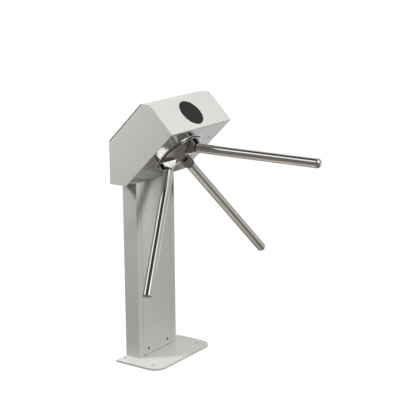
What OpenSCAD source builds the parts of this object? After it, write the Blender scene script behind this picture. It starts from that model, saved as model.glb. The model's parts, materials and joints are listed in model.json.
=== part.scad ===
// Tripod turnstile: a free-standing post whose head carries a rotor with three arms.
// Millimetres. +Z is up, +X points into the passage and +Y runs along the head. The origin is
// the middle of the base plate's underside. The left side is at -Y and the right side at +Y.

/* [Base plate] */
// Depth of the base plate, from its rear edge to the passage side
base_d = 208; // [190:1:260]
// Width of the base plate, along the head
base_w = 372; // [350:1:460]
// Thickness of the base plate
base_t = 8; // [5:0.5:15]
// Radius of the two corners on the passage side
base_front_r = 50; // [10:1:60]
// Radius of the two rear corners
base_rear_r = 4; // [2:1:20]
// Diameter of the four anchor holes
anchor_d = 12; // [8:0.5:16]
// Distance between the anchor holes towards the passage
anchor_dx = 140; // [120:1:150]
// Distance between the anchor holes along the head
anchor_dy = 295; // [275:1:310]
// Distance from the rear edge to the rear pair of anchor holes
anchor_rear = 15.5; // [12:0.5:20]
// Diameter of the cable hole under the column
cable_hole_d = 44; // [20:1:50]

/* [Column] */
// Depth of the column
col_d = 68.5; // [60:0.5:74]
// Width of the column
col_w = 245; // [225:1:255]
// Sheet thickness of the column and its cover
col_wall = 2; // [1.5:0.5:3]
// Outer radius of the column's folded edges
col_bend_r = 3; // [2.5:0.5:5]
// Distance from the base plate's rear edge to the column's back
col_setback = 1.5; // [0:0.5:4]
// Width of the column's strip on each side of the cover
col_strip_w = 29; // [24:1:34]
// Depth of the lips and of the cover's flanges
col_lip = 14; // [10:1:20]
// Gap between the cover and the column's strips
panel_gap = 0.8; // [0.4:0.1:1]
// Gap between the cover and the base plate
panel_foot_gap = 2; // [1:0.5:4]
// Height of the cover's screws above the base plate
panel_screw_h = 26; // [20:1:34]
// Distance between the cover's screws
panel_screw_dy = 125; // [90:1:140]
// Height of each crossbar that the cover is fastened to
crossbar_h = 30; // [24:1:36]
// Thickness of the crossbars
crossbar_t = 5; // [3:0.5:8]
// Thickness of the plate that closes the column's top
top_plate_t = 6; // [4:0.5:10]

/* [Head] */
// Height of the head's underside above the floor
head_z = 720; // [640:1:800]
// Height of the head
head_h = 320; // [312:1:330]
// Length of the head
head_l = 386; // [370:1:430]
// Height of the head's back wall
head_back_h = 167; // [160:1:174]
// Width of the head's flat top
head_top_w = 40; // [34:1:50]
// Height of the nose above the head's underside
head_nose_h = 219; // [212:1:224]
// Sheet thickness of the head
sheet_t = 2; // [1.5:0.5:2.5]
// Outer radius of the head's folded edges
bend_r = 3; // [3:0.5:5]
// Distance from each end of the head to the middle of the cover's tabs
tab_in = 43; // [36:1:60]
// Width of the cover's lip under the nose
lip_w = 6; // [4:0.5:10]
// Depth of the flanges folded into the head
flange_w = 14; // [10:1:18]
// Seams between the head's sheets
seam = 0.6; // [0.3:0.1:0.9]
// Diameter of the bolts between head and column
head_bolt_d = 10; // [6:1:12]

/* [Indicator] */
// Diameter of the round indicator window
lens_d = 110; // [80:1:116]
// Thickness of the window
lens_t = 4; // [3:0.5:6]
// Depth of the indicator's housing behind the cover
lamp_depth = 24; // [18:1:30]

/* [Rotor] */
// Radius of the hub's rim
hub_r = 98; // [96:1:100]
// Radius of the hub's domed cover
dome_r = 223; // [200:1:260]
// Height of the dome's middle above the head's slanted face
dome_h = 27.7; // [24:0.5:30]
// Thickness of the domed cover
dome_t = 3; // [2:0.5:4]
// Gap between the hub's rim and the trim ring
hub_gap = 2.6; // [1.5:0.1:4]
// Width of the trim ring on the slanted face
trim_w = 7; // [4:0.5:9]
// Depth of the point where the arms' axes meet, behind the slanted face
apex_depth = 37.6; // [36:0.2:39]
// Diameter of the rotor's shaft in its bearings
shaft_d = 30; // [25:1:35]
// Outer diameter of the bearings
bearing_d = 62; // [56:1:64]
// Width of each bearing
bearing_w = 16; // [12:1:18]

/* [Arms] */
// Diameter of the arms
arm_d = 36; // [32:1:38]
// Wall of the arm tubes
arm_wall = 1.5; // [1:0.5:2.5]
// Distance from the meeting point of the arms' axes to the end of a tube
arm_end = 632; // [450:1:650]
// Height of the domed end caps
cap_h = 12; // [8:1:16]
// Distance from the meeting point to each fold pin
pin_at = 92.5; // [91:0.5:95]
// Diameter of the fold pins
pin_d = 12; // [8:1:14]
// Radius of the fork's ears round the pin
ear_r = 19; // [17.5:0.5:20]
// Thickness of each ear
ear_t = 11; // [9:0.5:12]
// Width of the slot between the two ears of a fork
fork_slot = 22; // [18:0.5:24]
// Height of the arms' tongues
tongue_h = 30; // [26:1:32]
// Distance from the fold pin to the arm's collar
collar_at = 21.5; // [21.5:0.5:24]

/* [Mechanism] */
// Distance from the slanted face to the front of the mechanism plate
plate_depth = 62; // [62:1:66]
// Thickness of the mechanism plate
plate_t = 8; // [6:0.5:10]
// Distance between the face screws up the slanted face
face_screw_dx = 120; // [110:1:126]
// Distance from each end of the head to its face screws
face_screw_in = 53; // [43:1:60]
// Outer radius of the lock wheel
lock_r = 56; // [50:1:56]
// Width of the lock wheel's notches
notch_w = 14; // [12:0.5:16]
// Lift of a released pawl's tooth
pawl_lift = 12.5; // [11:0.5:13]
// Module of the centring gears
gear_m = 2.5; // [2:0.25:2.5]
// Throw of the centring crank
crank_throw = 14; // [10:1:15]

/* [Hidden] */
$fn = 96;

// Paint and metal colours
paint = [0.74, 0.75, 0.74];
paint_light = [0.82, 0.82, 0.81];
polished = [0.78, 0.77, 0.75];
zinc = [0.66, 0.67, 0.68];
dark = [0.11, 0.11, 0.12];
brass = [0.72, 0.58, 0.30];

// Clearances that pieces share
overrun = 1;
face_fit = 0.3;
press_gap = 0.02;
running_gap = 0.05;
slip_gap = 0.1;

// Head outline, a hexagon whose slants all stand at this angle
slant = 45;
rear_x = -base_d/2;
head_top = head_z + head_h;
p_back_low = [rear_x, head_z];
p_back_high = [rear_x, head_z + head_back_h];
p_top_back = [rear_x + head_h - head_back_h, head_top];
p_top_front = p_top_back + [head_top_w, 0];
p_nose = p_top_front + [1, -1]*(head_h - head_nose_h);
p_low_front = p_nose - [1, 1]*head_nose_h;
outline = [p_back_high, p_top_back, p_top_front, p_nose, p_low_front, p_back_low];
up_slope = [cos(slant), sin(slant)];
into_head = [-sin(slant), cos(slant)];
hub_foot = (p_nose + p_low_front)/2;
lens_foot = (p_top_front + p_nose)/2;
// The flanges under the nose end beside the indicator's housing
lens_flange = 6;
lens_room = 2;
nose_flange = norm(p_nose - lens_foot) - lens_d/2 - lens_flange - lens_room;
lip_end = p_nose - up_slope*lip_w;
face_start = p_nose - up_slope*(lip_w + seam);
cover_l = head_l - 2*(sheet_t + seam);
face_l = norm(p_nose - p_low_front);

// Face screws along the head
face_screw_dy = head_l - 2*face_screw_in;

// Column places
col_x = rear_x + col_setback;
col_front = col_x + col_d;
col_h = head_z - base_t;
panel_w = col_w - 2*(col_strip_w + panel_gap);
upper_bar_below_top = 70;
bolt_dx_share = 0.5;
bolt_dy_share = 0.74;
bolt_head_share = 0.65;
hex_share = 0.9;
cap_share = 0.78;
cable_slot_share = 0.5;

// Socket-head screw: shares of its diameter
screw_d = 6;
screw_head_share = 1.9;
screw_sink_share = 0.45;
socket_share = 0.75;
screw_reach = 12;

// Rotor heights, measured outwards from the slanted face
arm_cone = slant;
hub_floor = -2;
hub_plate_t = 8;
skirt_depth = 6;
skirt_t = 2.7;
hub_plate_r = hub_r - skirt_t - face_fit;
shaft_flange_t = 10;
shaft_flange_r = 40;
hub_back = hub_floor - hub_plate_t;
pin_r = pin_at*sin(arm_cone);
pin_h = pin_at*cos(arm_cone) - apex_depth;
fork_w = fork_slot + 2*ear_t;
ear_set = 0.5;
ear_wall_r = sqrt(hub_plate_r*hub_plate_r - fork_w*fork_w/4) - ear_set;
shoulder_drop = 3;
ear_shoulder_h = pin_h - shoulder_drop;
ear_back = 35;
ear_inner_r = pin_r - ear_back;
window_gap = 3;
window_inner_r = ear_inner_r + overrun;
hub_bore_r = 20;
hub_bolt_ring = 32;
hub_bolt_turn = 15;
hub_bolt_d = 8;
latch_gap = 1;

// Bearing housing and shaft, measured into the head from the slanted face
layer_gap = 4;
housing_front = shaft_flange_t - hub_back + layer_gap;
housing_wall = 11;
housing_l = 66;
housing_flange_r = 62;
housing_flange_t = 8;
housing_bolt_ring = 52;
housing_bolt_d = 6;
bearing_set = 2;
bearing_ring_t = 4.5;
rear_seat = housing_front + housing_l - bearing_set - bearing_w;
shoulder_w = 5;
lock_depth = housing_front + housing_l + layer_gap;
lock_t = 8;
gear_depth = lock_depth + lock_t + layer_gap;
gear_t = 10;
disc_depth = gear_depth + gear_t + layer_gap;
disc_t = 2;
disc_r = 44;
nut_t = 9;
nut_r = 21;
stub_l = 7;
shaft_end = disc_depth + disc_t + nut_t + stub_l;
boss_r = 24;
spacer_r = shaft_d/2 + bearing_ring_t - slip_gap;

// Lock wheel and pawls
notches = 6;
notch_depth = 9;
tooth_gap = 1;
tooth_w = notch_w - 2*tooth_gap;
tooth_tip_r = lock_r - notch_depth + 2*tooth_gap;
pawl_l = 60;
pawl_arm_w = 14;
pawl_y = lock_r + pawl_arm_w/2 + tooth_gap;
pawl_tail = 32;
pawl_pivot_d = 12;
pawl_boss_r = 11;
pawl_angle = asin(pawl_lift/pawl_l);
tail_slot = 5.6;
tail_slot_l = 9;
clevis_pin_d = 5;
clip_share = 0.8;
clip_t = 1.5;
plunger_x = -pawl_l - pawl_tail*cos(pawl_angle);
plunger_r = 8;
clevis_w = lock_t + tooth_gap;
clevis_l = 11;
seat_r = 11;
seat_t = 2;
solenoid_w = 34;
solenoid_l = 46;
solenoid_h = 30;
solenoid_from = 26;
solenoid_foot_t = 4;

// Centring gears, crank and spring; the ring gear has three times the pinion's teeth
pinion_teeth = 16;
gear_teeth = 3*pinion_teeth;
gear_r = gear_m*gear_teeth/2;
pinion_r = gear_m*pinion_teeth/2;
pinion_x = gear_r + pinion_r;
backlash = 0.3;
root_share = 1.25;
pressure_angle = 20;
flank_steps = 5;
crank_rim = 6;
crank_r = crank_throw + crank_rim;
crank_t = 6;
crank_gap = 2;
crank_depth = gear_depth + gear_t + crank_gap;
crank_pin_d = 8;
crank_pin_l = 12;
pinion_shaft_d = 12;
damper_r = pinion_x - lock_r - crank_gap;
damper_t = 26;
damper_hold = 9;
spring_post_y = -115;
spring_post_d = 8;
spring_wire = 2.4;
spring_r = 7;
spring_depth = crank_depth + crank_t + spring_r;
return_wire = 1.4;

// Mechanism plate and boards
plate_back = plate_depth + plate_t;
plate_up = 112;
plate_down = 132;
plate_margin = 12;
screw_shift = -2.5;
standoff_r = 8;
post_r = 3.5;
sensor_x = -68;
sensor_dy = 36;
board_t = 1.6;
board_w = 100;
board_h = 90;
board_depth = 90;
board_lift = 12;
board_margin = 8;

// Unit vector
function unit(v) = v/norm(v);
// Normal on the right-hand side of the way from a to b
function side_normal(a, b) = let (u = unit(b - a)) [u[1], -u[0]];
function backwards(p) = [for (i = [len(p) - 1:-1:0]) p[i]];
// Arc that rounds corner b between a and c
function corner_arc(a, b, c, r, steps = 4) =
    let (u = unit(a - b), v = unit(c - b), half = acos(u*v)/2,
        centre = b + unit(u + v)*r/sin(half),
        from = b + u*r/tan(half) - centre, to = b + v*r/tan(half) - centre)
    [for (i = [0:steps]) centre + r*unit(from*(1 - i/steps) + to*i/steps)];
// Path moved sideways to the right by t, mitred at its corners
function shifted(p, t) = [for (i = [0:len(p) - 1])
    i == 0 ? p[0] + t*side_normal(p[0], p[1])
    : i == len(p) - 1 ? p[i] + t*side_normal(p[i - 1], p[i])
    : let (m = side_normal(p[i - 1], p[i]), n = side_normal(p[i], p[i + 1]))
        p[i] + t*(m + n)/(1 + m*n)];
function rounded_path(p, r) = concat([p[0]],
    [for (i = [1:len(p) - 2]) each corner_arc(p[i - 1], p[i], p[i + 1], r)],
    [p[len(p) - 1]]);
function rounded_loop(p, r) = let (n = len(p))
    [for (i = [0:n - 1]) each corner_arc(p[(i + n - 1) % n], p[i], p[(i + 1) % n], r)];
// Point where a line from b touches the circle round c, on its outer side
function tangent_point(b, c, r) =
    let (u = unit(c - b), l = norm(c - b), a = asin(r/l))
    b + sqrt(l*l - r*r)*[u[0]*cos(a) + u[1]*sin(a), u[1]*cos(a) - u[0]*sin(a)];
// Place in a fork's plane, radius and height, of a point d along the arm and m off its axis
function off_arm(d, m) = [d*sin(arm_cone) - m*cos(arm_cone),
    d*cos(arm_cone) + m*sin(arm_cone) - apex_depth];

// Rotor frame: +Z leaves the slanted face, +X runs up the face to the nose
module at_hub() translate([hub_foot[0], 0, hub_foot[1]]) rotate([0, 180 - slant, 0])
    rotate([0, 0, 180]) children();
// Rotor frame, at a depth behind the slanted face, with +Z still outwards
module at_depth(d) at_hub() translate([0, 0, -d]) children();
module at_each_arm() for (i = [0:2]) rotate([0, 0, i*120]) children();
// Upright plane through the rotor's axis: X is the radius, Y the height above the face
module in_fork_plane() rotate([90, 0, 0]) children();
// Arm frame: +Z along the arm from the meeting point, -X towards the axis side
module at_arm(i) at_hub() rotate([0, 0, i*120]) translate([0, 0, -apex_depth])
    rotate([0, arm_cone, 0]) children();
// Extrusion along the head of an outline drawn in X and Z
module along_head(l) rotate([90, 0, 0]) linear_extrude(height = l, center = true) children();

module rounded_rect(w, d, r) {
    square([w - 2*r, d], center = true);
    square([w, d - 2*r], center = true);
    for (x = [-1, 1], y = [-1, 1]) translate([x*(w/2 - r), y*(d/2 - r)]) circle(r);
}
module sheet_profile(p, t, r)
    polygon(concat(rounded_path(p, r), backwards(rounded_path(shifted(p, t), r - t))));
module four(dx, dy) for (x = [-1, 1], y = [-1, 1]) translate([x*dx/2, y*dy/2, 0]) children();
module tube(r, inner, h) difference() {
    cylinder(r = r, h = h);
    translate([0, 0, -overrun]) cylinder(r = inner, h = h + 2*overrun);
}

// Countersunk screw: its head is flush at height 0 and its shank points down
module flush_screw(d, reach) difference() {
    union() {
        translate([0, 0, -d*screw_sink_share])
            cylinder(r1 = d/2, r2 = d*screw_head_share/2, h = d*screw_sink_share);
        translate([0, 0, -reach]) cylinder(r = d/2, h = reach - d*screw_sink_share/2);
    }
    translate([0, 0, -d*screw_sink_share]) cylinder(r = d*socket_share/2, h = d, $fn = 6);
}
// Hole that a countersunk screw sits in
module flush_screw_hole(d, reach) {
    sink = d*screw_sink_share + face_fit;
    translate([0, 0, -sink]) cylinder(r1 = d/2 + slip_gap, r2 = d*screw_head_share/2 + face_fit,
        h = sink);
    translate([0, 0, -reach]) cylinder(r = d/2 + slip_gap, h = reach);
}
// Hexagon-head bolt: its head stands on height 0 and its shank points down
module hex_bolt(d, reach) {
    cylinder(r = d*hex_share, h = d*bolt_head_share, $fn = 6);
    translate([0, 0, -reach]) cylinder(r = d/2, h = reach + d*bolt_head_share/2);
}

// Base plate with its anchor holes
anchor_x = rear_x + anchor_rear + anchor_dx/2;
cable_x = col_x + col_d/2;
module base_outline() difference() {
    union() {
        translate([0, -base_w/2 + base_front_r]) square([base_d/2, base_w - 2*base_front_r]);
        translate([rear_x + base_rear_r, -base_w/2])
            square([base_d - base_front_r - base_rear_r, base_w]);
        translate([rear_x, -base_w/2 + base_rear_r]) square([base_d/2, base_w - 2*base_rear_r]);
        for (y = [-1, 1]) {
            translate([base_d/2 - base_front_r, y*(base_w/2 - base_front_r)])
                circle(base_front_r);
            translate([rear_x + base_rear_r, y*(base_w/2 - base_rear_r)]) circle(base_rear_r);
        }
    }
    translate([anchor_x, 0]) four(anchor_dx, anchor_dy) circle(anchor_d/2);
    translate([cable_x, 0]) circle(cable_hole_d/2);
}
module base_plate() color(paint_light) linear_extrude(height = base_t) base_outline();

// Column: one folded sheet, open towards the passage where its cover sits
module column_profile() difference() {
    union() {
        difference() {
            translate([cable_x, 0]) rounded_rect(col_d, col_w, col_bend_r);
            translate([cable_x, 0]) rounded_rect(col_d - 2*col_wall, col_w - 2*col_wall,
                col_bend_r - col_wall);
        }
        for (y = [-1, 1]) translate([col_front - col_lip,
            y*(col_w/2 - col_strip_w + col_wall/2) - col_wall/2]) square([col_lip, col_wall]);
    }
    translate([col_front - col_bend_r, -col_w/2 + col_strip_w])
        square([col_bend_r + overrun, col_w - 2*col_strip_w]);
}
module column() color(paint) translate([0, 0, base_t]) linear_extrude(height = col_h)
    column_profile();

// Crossbars behind the column's lips, which carry the cover
bar_front = col_front - col_wall - press_gap;
bar_w = panel_w - 2*(col_wall + slip_gap);
lower_bar_z = base_t + panel_screw_h - crossbar_h/2;
upper_bar_z = head_z - upper_bar_below_top;
ear_front = col_front - col_lip - press_gap;
ear_end = col_w/2 - col_strip_w + col_lip;
module crossbar() {
    translate([bar_front - crossbar_t, -bar_w/2, 0]) cube([crossbar_t, bar_w, crossbar_h]);
    for (m = [0, 1]) mirror([0, m, 0]) {
        translate([ear_front - crossbar_t, bar_w/2 - crossbar_t, 0])
            cube([bar_front - ear_front + crossbar_t, crossbar_t, crossbar_h]);
        translate([ear_front - crossbar_t, bar_w/2 - crossbar_t, 0])
            cube([crossbar_t, ear_end - bar_w/2 + crossbar_t, crossbar_h]);
    }
}
module column_crossbars() color(zinc) difference() {
    for (z = [lower_bar_z, upper_bar_z]) translate([0, 0, z]) crossbar();
    place_panel_screws() flush_screw_hole(screw_d, screw_reach + overrun);
}

// Plate welded into the column's top, which the head is bolted to
top_plate_w = col_w - 2*(col_wall + press_gap);
top_plate_d = col_d - col_lip - col_wall - 2*press_gap;
top_plate_x = col_x + col_wall + press_gap;
module head_bolt_places() translate([top_plate_x + top_plate_d/2, 0, 0])
    four(top_plate_d*bolt_dx_share, col_w*bolt_dy_share) children();
module column_top_plate() color(zinc) difference() {
    translate([top_plate_x + top_plate_d/2, 0, head_z - top_plate_t])
        linear_extrude(height = top_plate_t) rounded_rect(top_plate_d, top_plate_w, col_bend_r);
    translate([0, 0, head_z - top_plate_t - overrun]) {
        head_bolt_places() cylinder(r = head_bolt_d/2 + slip_gap, h = top_plate_t + 2*overrun);
        translate([top_plate_x + top_plate_d/2, 0, 0])
            cylinder(r = top_plate_d*cable_slot_share/2, h = top_plate_t + 2*overrun);
    }
}

// Removable cover on the column's passage side
panel_z = base_t + panel_foot_gap;
panel_h = head_z - panel_z - panel_gap;
module place_panel_screws() for (y = [-1, 1])
    translate([col_front, y*panel_screw_dy/2, base_t + panel_screw_h]) rotate([0, 90, 0])
    children();
module column_cover() color(paint) difference() {
    translate([0, 0, panel_z]) linear_extrude(height = panel_h) {
        translate([col_front - col_wall, -panel_w/2]) square([col_wall, panel_w]);
        for (y = [-1, 1]) translate([col_front - col_lip,
            y*(panel_w/2 - col_wall/2) - col_wall/2]) square([col_lip, col_wall]);
    }
    place_panel_screws() flush_screw_hole(screw_d, screw_reach);
}

// Six like screws: four hold the mechanism behind the slanted face, two the column's cover
module face_screw_places() translate([screw_shift, 0, 0])
    four(face_screw_dx, face_screw_dy) children();
module panel_screws() color(zinc) {
    place_panel_screws() flush_screw(screw_d, screw_reach);
    at_hub() face_screw_places() flush_screw(screw_d, screw_reach);
}

// Bolts that hold the head on the column, with their nuts
module head_bolts() color(zinc) head_bolt_places() {
    translate([0, 0, head_z + sheet_t]) hex_bolt(head_bolt_d, sheet_t + top_plate_t
        + head_bolt_d);
    translate([0, 0, head_z - top_plate_t]) mirror([0, 0, 1]) cylinder(
        r = head_bolt_d*hex_share, h = head_bolt_d*bolt_head_share, $fn = 6);
}

// Head chassis: back wall, bottom and slanted face in one folded sheet
module head_chassis() color(paint) difference() {
    along_head(cover_l) sheet_profile([face_start + into_head*nose_flange, face_start,
        p_low_front, p_back_low, p_back_high - [0, sheet_t + seam]], sheet_t, bend_r);
    at_hub() {
        translate([0, 0, -sheet_t - overrun])
            cylinder(r = hub_r + hub_gap + skirt_t, h = sheet_t + 2*overrun);
        face_screw_places() flush_screw_hole(screw_d, screw_reach);
    }
    translate([0, 0, head_z - overrun]) {
        head_bolt_places() cylinder(r = head_bolt_d/2 + slip_gap, h = sheet_t + 2*overrun);
        translate([top_plate_x + top_plate_d/2, 0, 0])
            cylinder(r = top_plate_d*cable_slot_share/2, h = sheet_t + 2*overrun);
    }
    place_cover_screws() translate([0, 0, -screw_reach])
        cylinder(r = screw_d/2 + slip_gap, h = 2*screw_reach);
}

// End plates: hexagonal pans whose flanges the sheets of the head lie on
module edge_flange(i) {
    a = outline[i];
    b = outline[(i + 1) % len(outline)];
    cut = min(2*flange_w, norm(b - a)/3);
    u = unit(b - a);
    n = side_normal(a, b);
    inner = sheet_t + face_fit;
    polygon([a + u*cut + n*inner, b - u*cut + n*inner, b - u*cut + n*(inner + sheet_t),
        a + u*cut + n*(inner + sheet_t)]);
}
module end_plate(side) color(paint) {
    translate([0, side*(head_l - sheet_t)/2, 0]) along_head(sheet_t)
        polygon(rounded_loop(outline, bend_r));
    translate([0, side*(head_l/2 - sheet_t/2 - flange_w/2), 0])
        along_head(sheet_t + flange_w) for (i = [0:5]) edge_flange(i);
}
module end_plate_left() end_plate(-1);
module end_plate_right() end_plate(1);

// Top cover: back slant, top, front slant and the lip under the nose, with two screwed tabs
tab_w = 30;
tab_dy = head_l - 2*tab_in;
tab_drop = 18;
cover_screw_d = 5;
module place_cover_screws() for (y = [-1, 1])
    translate([rear_x, y*tab_dy/2, p_back_high[1] - tab_drop/2]) rotate([0, -90, 0]) children();
module top_cover() color(paint_light) difference() {
    union() {
        along_head(cover_l) sheet_profile([p_back_high, p_top_back, p_top_front, p_nose,
            lip_end, lip_end + into_head*nose_flange], sheet_t, bend_r);
        for (y = [-1, 1]) translate([rear_x + sheet_t + face_fit, y*tab_dy/2 - tab_w/2,
            p_back_high[1] - tab_drop]) cube([sheet_t, tab_w, tab_drop + sheet_t]);
    }
    at_lens() translate([0, 0, -sheet_t - overrun])
        cylinder(r = lens_d/2 + slip_gap, h = sheet_t + 2*overrun);
    place_cover_screws() translate([0, 0, -screw_reach])
        cylinder(r = cover_screw_d/2 + slip_gap, h = screw_reach);
}
module cover_screws() color(zinc) place_cover_screws() {
    cylinder(r = cover_screw_d, h = cover_screw_d/2);
    translate([0, 0, -screw_reach + overrun]) cylinder(r = cover_screw_d/2, h = screw_reach);
}

// Round indicator in the front slant
lens_flange_t = 2;
lamp_wall = 2.5;
module at_lens() translate([lens_foot[0], 0, lens_foot[1]]) rotate([0, slant, 0]) children();
module indicator_lens() color(dark) at_lens() {
    translate([0, 0, -lens_t]) cylinder(r = lens_d/2, h = lens_t);
    translate([0, 0, -sheet_t - lens_flange_t])
        cylinder(r = lens_d/2 + lens_flange, h = lens_flange_t);
}
module indicator_housing() color(dark) at_lens()
    translate([0, 0, -sheet_t - lens_flange_t - lamp_depth]) {
    cylinder(r = lens_d/2 + lens_flange, h = lamp_wall);
    tube(lens_d/2 + lens_flange, lens_d/2 + lens_flange - lamp_wall, lamp_depth);
}
led_rings = 3;
led_r = 2.5;
lamp_board_lift = 6;
module indicator_board() color([0.1, 0.35, 0.2]) at_lens()
    translate([0, 0, -sheet_t - lens_flange_t - lamp_depth + lamp_wall]) {
    translate([0, 0, lamp_board_lift]) cylinder(r = lens_d/2, h = board_t);
    four(lens_d/2, lens_d/2) cylinder(r = post_r, h = lamp_board_lift + board_t/2);
    for (k = [1:led_rings], i = [0:6*k - 1]) rotate([0, 0, i*60/k])
        translate([k*lens_d/2/(led_rings + 1), 0, lamp_board_lift])
        cylinder(r = led_r, h = board_t + 2*led_r);
}

// Trim ring round the hub's opening
trim_t = 1.6;
module hub_trim_ring() color(polished) at_hub() rotate_extrude() {
    translate([hub_r + hub_gap, 0]) square([trim_w, trim_t]);
    translate([hub_r + hub_gap, -skirt_depth]) square([skirt_t - face_fit, skirt_depth + trim_t]);
}

// Four standoffs between the slanted face and the mechanism plate, tapped at both ends
module mechanism_standoffs() color(zinc) at_hub() face_screw_places() difference() {
    translate([0, 0, -plate_depth]) cylinder(r = standoff_r, h = plate_depth - sheet_t);
    flush_screw_hole(screw_d, screw_reach + overrun);
    translate([0, 0, -plate_depth - overrun])
        cylinder(r = housing_bolt_d/2 + slip_gap, h = screw_reach);
}
plate_w = face_screw_dy + 2*plate_margin;
module mechanism_plate() color(zinc) at_depth(plate_back) difference() {
    linear_extrude(height = plate_t) difference() {
        translate([(plate_up - plate_down)/2, 0])
            rounded_rect(plate_up + plate_down, plate_w, plate_margin);
        circle(bearing_d/2 + housing_wall + slip_gap);
        face_screw_places() circle(housing_bolt_d/2 + slip_gap);
    }
    for (i = [0:5]) rotate([0, 0, i*60 + 30]) translate([housing_bolt_ring, 0, -overrun])
        cylinder(r = housing_bolt_d/2 + slip_gap, h = plate_t + 2*overrun);
}

// Bearing housing with a seat at each end
module bearing_housing() color(zinc) at_hub() difference() {
    union() {
        translate([0, 0, -housing_front - housing_l])
            cylinder(r = bearing_d/2 + housing_wall, h = housing_l);
        translate([0, 0, -plate_depth]) cylinder(r = housing_flange_r, h = housing_flange_t);
        for (i = [0:5]) rotate([0, 0, i*60]) translate([0, -shoulder_w/2, -plate_depth])
            cube([housing_flange_r - shoulder_w, shoulder_w, plate_depth - housing_front
                - 2*shoulder_w]);
    }
    translate([0, 0, -housing_front - housing_l - overrun])
        cylinder(r = bearing_d/2 - shoulder_w, h = housing_l + 2*overrun);
    translate([0, 0, -housing_front - bearing_set - bearing_w])
        cylinder(r = bearing_d/2 + press_gap, h = bearing_set + bearing_w + overrun);
    translate([0, 0, -rear_seat - bearing_w - bearing_set - overrun])
        cylinder(r = bearing_d/2 + press_gap, h = bearing_set + bearing_w + overrun);
    for (i = [0:5]) rotate([0, 0, i*60 + 30])
        translate([housing_bolt_ring, 0, -plate_depth - overrun])
        cylinder(r = housing_bolt_d/2 + slip_gap, h = housing_flange_t + 2*overrun);
}
// Ten like bolts: six hold the housing on the plate, four hold the plate on its standoffs
module mechanism_bolts() color(zinc) at_hub() {
    for (i = [0:5]) rotate([0, 0, i*60 + 30])
        translate([housing_bolt_ring, 0, -plate_depth + housing_flange_t])
        hex_bolt(housing_bolt_d, housing_flange_t + plate_t);
    face_screw_places() translate([0, 0, -plate_back]) mirror([0, 0, 1])
        hex_bolt(housing_bolt_d, housing_flange_t + plate_t);
}

// Sealed ball bearing: two rings with a recessed seal between them on each face
module ball_bearing() difference() {
    tube(bearing_d/2, shaft_d/2 + running_gap, bearing_w);
    for (z = [-overrun, bearing_w - overrun]) translate([0, 0, z])
        tube(bearing_d/2 - bearing_ring_t, shaft_d/2 + bearing_ring_t, 2*overrun);
}
module front_bearing() color(polished) at_depth(housing_front + bearing_set + bearing_w)
    ball_bearing();
module rear_bearing() color(polished) at_depth(rear_seat + bearing_w) ball_bearing();

// Rotary damper on the back of the mechanism plate, turned by the pinion
module rotary_damper() color(dark) at_depth(plate_back + damper_t)
    translate([pinion_x, 0, 0]) difference() {
    union() {
        cylinder(r = damper_r, h = damper_t);
        translate([0, 0, damper_t - solenoid_foot_t]) linear_extrude(height = solenoid_foot_t)
            rounded_rect(damper_r, 3*damper_r, solenoid_foot_t);
    }
    translate([0, 0, -overrun]) cylinder(r = pinion_shaft_d/2 + running_gap, h = damper_t/2);
}

// Posts on the plate: two pawl pivots with their clips, the spring's and the two of the sensors
module mechanism_posts() color(zinc) at_hub() {
    for (y = [-1, 1]) {
        translate([-pawl_l, y*pawl_y, 0]) {
            clip_depth = lock_depth + lock_t + running_gap;
            translate([0, 0, -clip_depth - 2*clip_t])
                cylinder(r = pawl_pivot_d/2, h = clip_depth + 2*clip_t - plate_back);
            translate([0, 0, -clip_depth - clip_t])
                cylinder(r = pawl_pivot_d*clip_share, h = clip_t);
            translate([0, 0, -lock_depth + running_gap])
                cylinder(r = pawl_boss_r, h = lock_depth - plate_back - running_gap);
        }
        translate([sensor_x, y*sensor_dy/2, -disc_depth - disc_t - pawl_boss_r])
            cylinder(r = post_r, h = disc_depth + disc_t + pawl_boss_r - plate_back);
    }
    translate([pinion_x, spring_post_y, -spring_depth - spring_post_d])
        cylinder(r = spring_post_d/2, h = spring_depth + spring_post_d - plate_back);
}

// Solenoids that drive the pawls
solenoid_y = pawl_y + solenoid_from;
lever_z = lock_depth + lock_t/2;
module solenoid(side) color([0.2, 0.2, 0.22]) at_hub()
    translate([plunger_x, side*(solenoid_y + solenoid_l/2), -lever_z]) difference() {
    union() {
        cube([solenoid_w, solenoid_l, solenoid_h], center = true);
        for (e = [-1, 1]) translate([-solenoid_w/2, e*(solenoid_l - solenoid_foot_t)/2
            - solenoid_foot_t/2, 0]) cube([solenoid_w, solenoid_foot_t, lever_z - plate_back]);
    }
    translate([0, -side*(solenoid_l/2 + overrun), 0]) rotate([-90*side, 0, 0])
        cylinder(r = plunger_r + running_gap, h = solenoid_l - solenoid_foot_t);
}
module solenoid_left() solenoid(1);
module solenoid_right() solenoid(-1);

// Optical sensors that watch the slotted disc
sensor_body = [14, 12, 14];
module sensor_board() color([0.1, 0.35, 0.2]) at_depth(disc_depth + disc_t + pawl_boss_r)
    difference() {
    union() {
        translate([sensor_x - board_margin, -sensor_dy/2 - board_margin, overrun])
            cube([-disc_r - sensor_x + 2*board_margin, sensor_dy + 2*board_margin, board_t]);
        for (y = [-1, 1]) translate([-disc_r - sensor_body[0]/2 - overrun,
            y*sensor_body[1] - sensor_body[1]/2, overrun]) cube(sensor_body);
    }
    translate([0, 0, pawl_boss_r - overrun]) cylinder(r = disc_r + overrun,
        h = disc_t + 2*overrun);
    for (y = [-1, 1]) translate([sensor_x, y*sensor_dy/2, 0])
        cylinder(r = post_r + slip_gap, h = pawl_boss_r);
}

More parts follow.
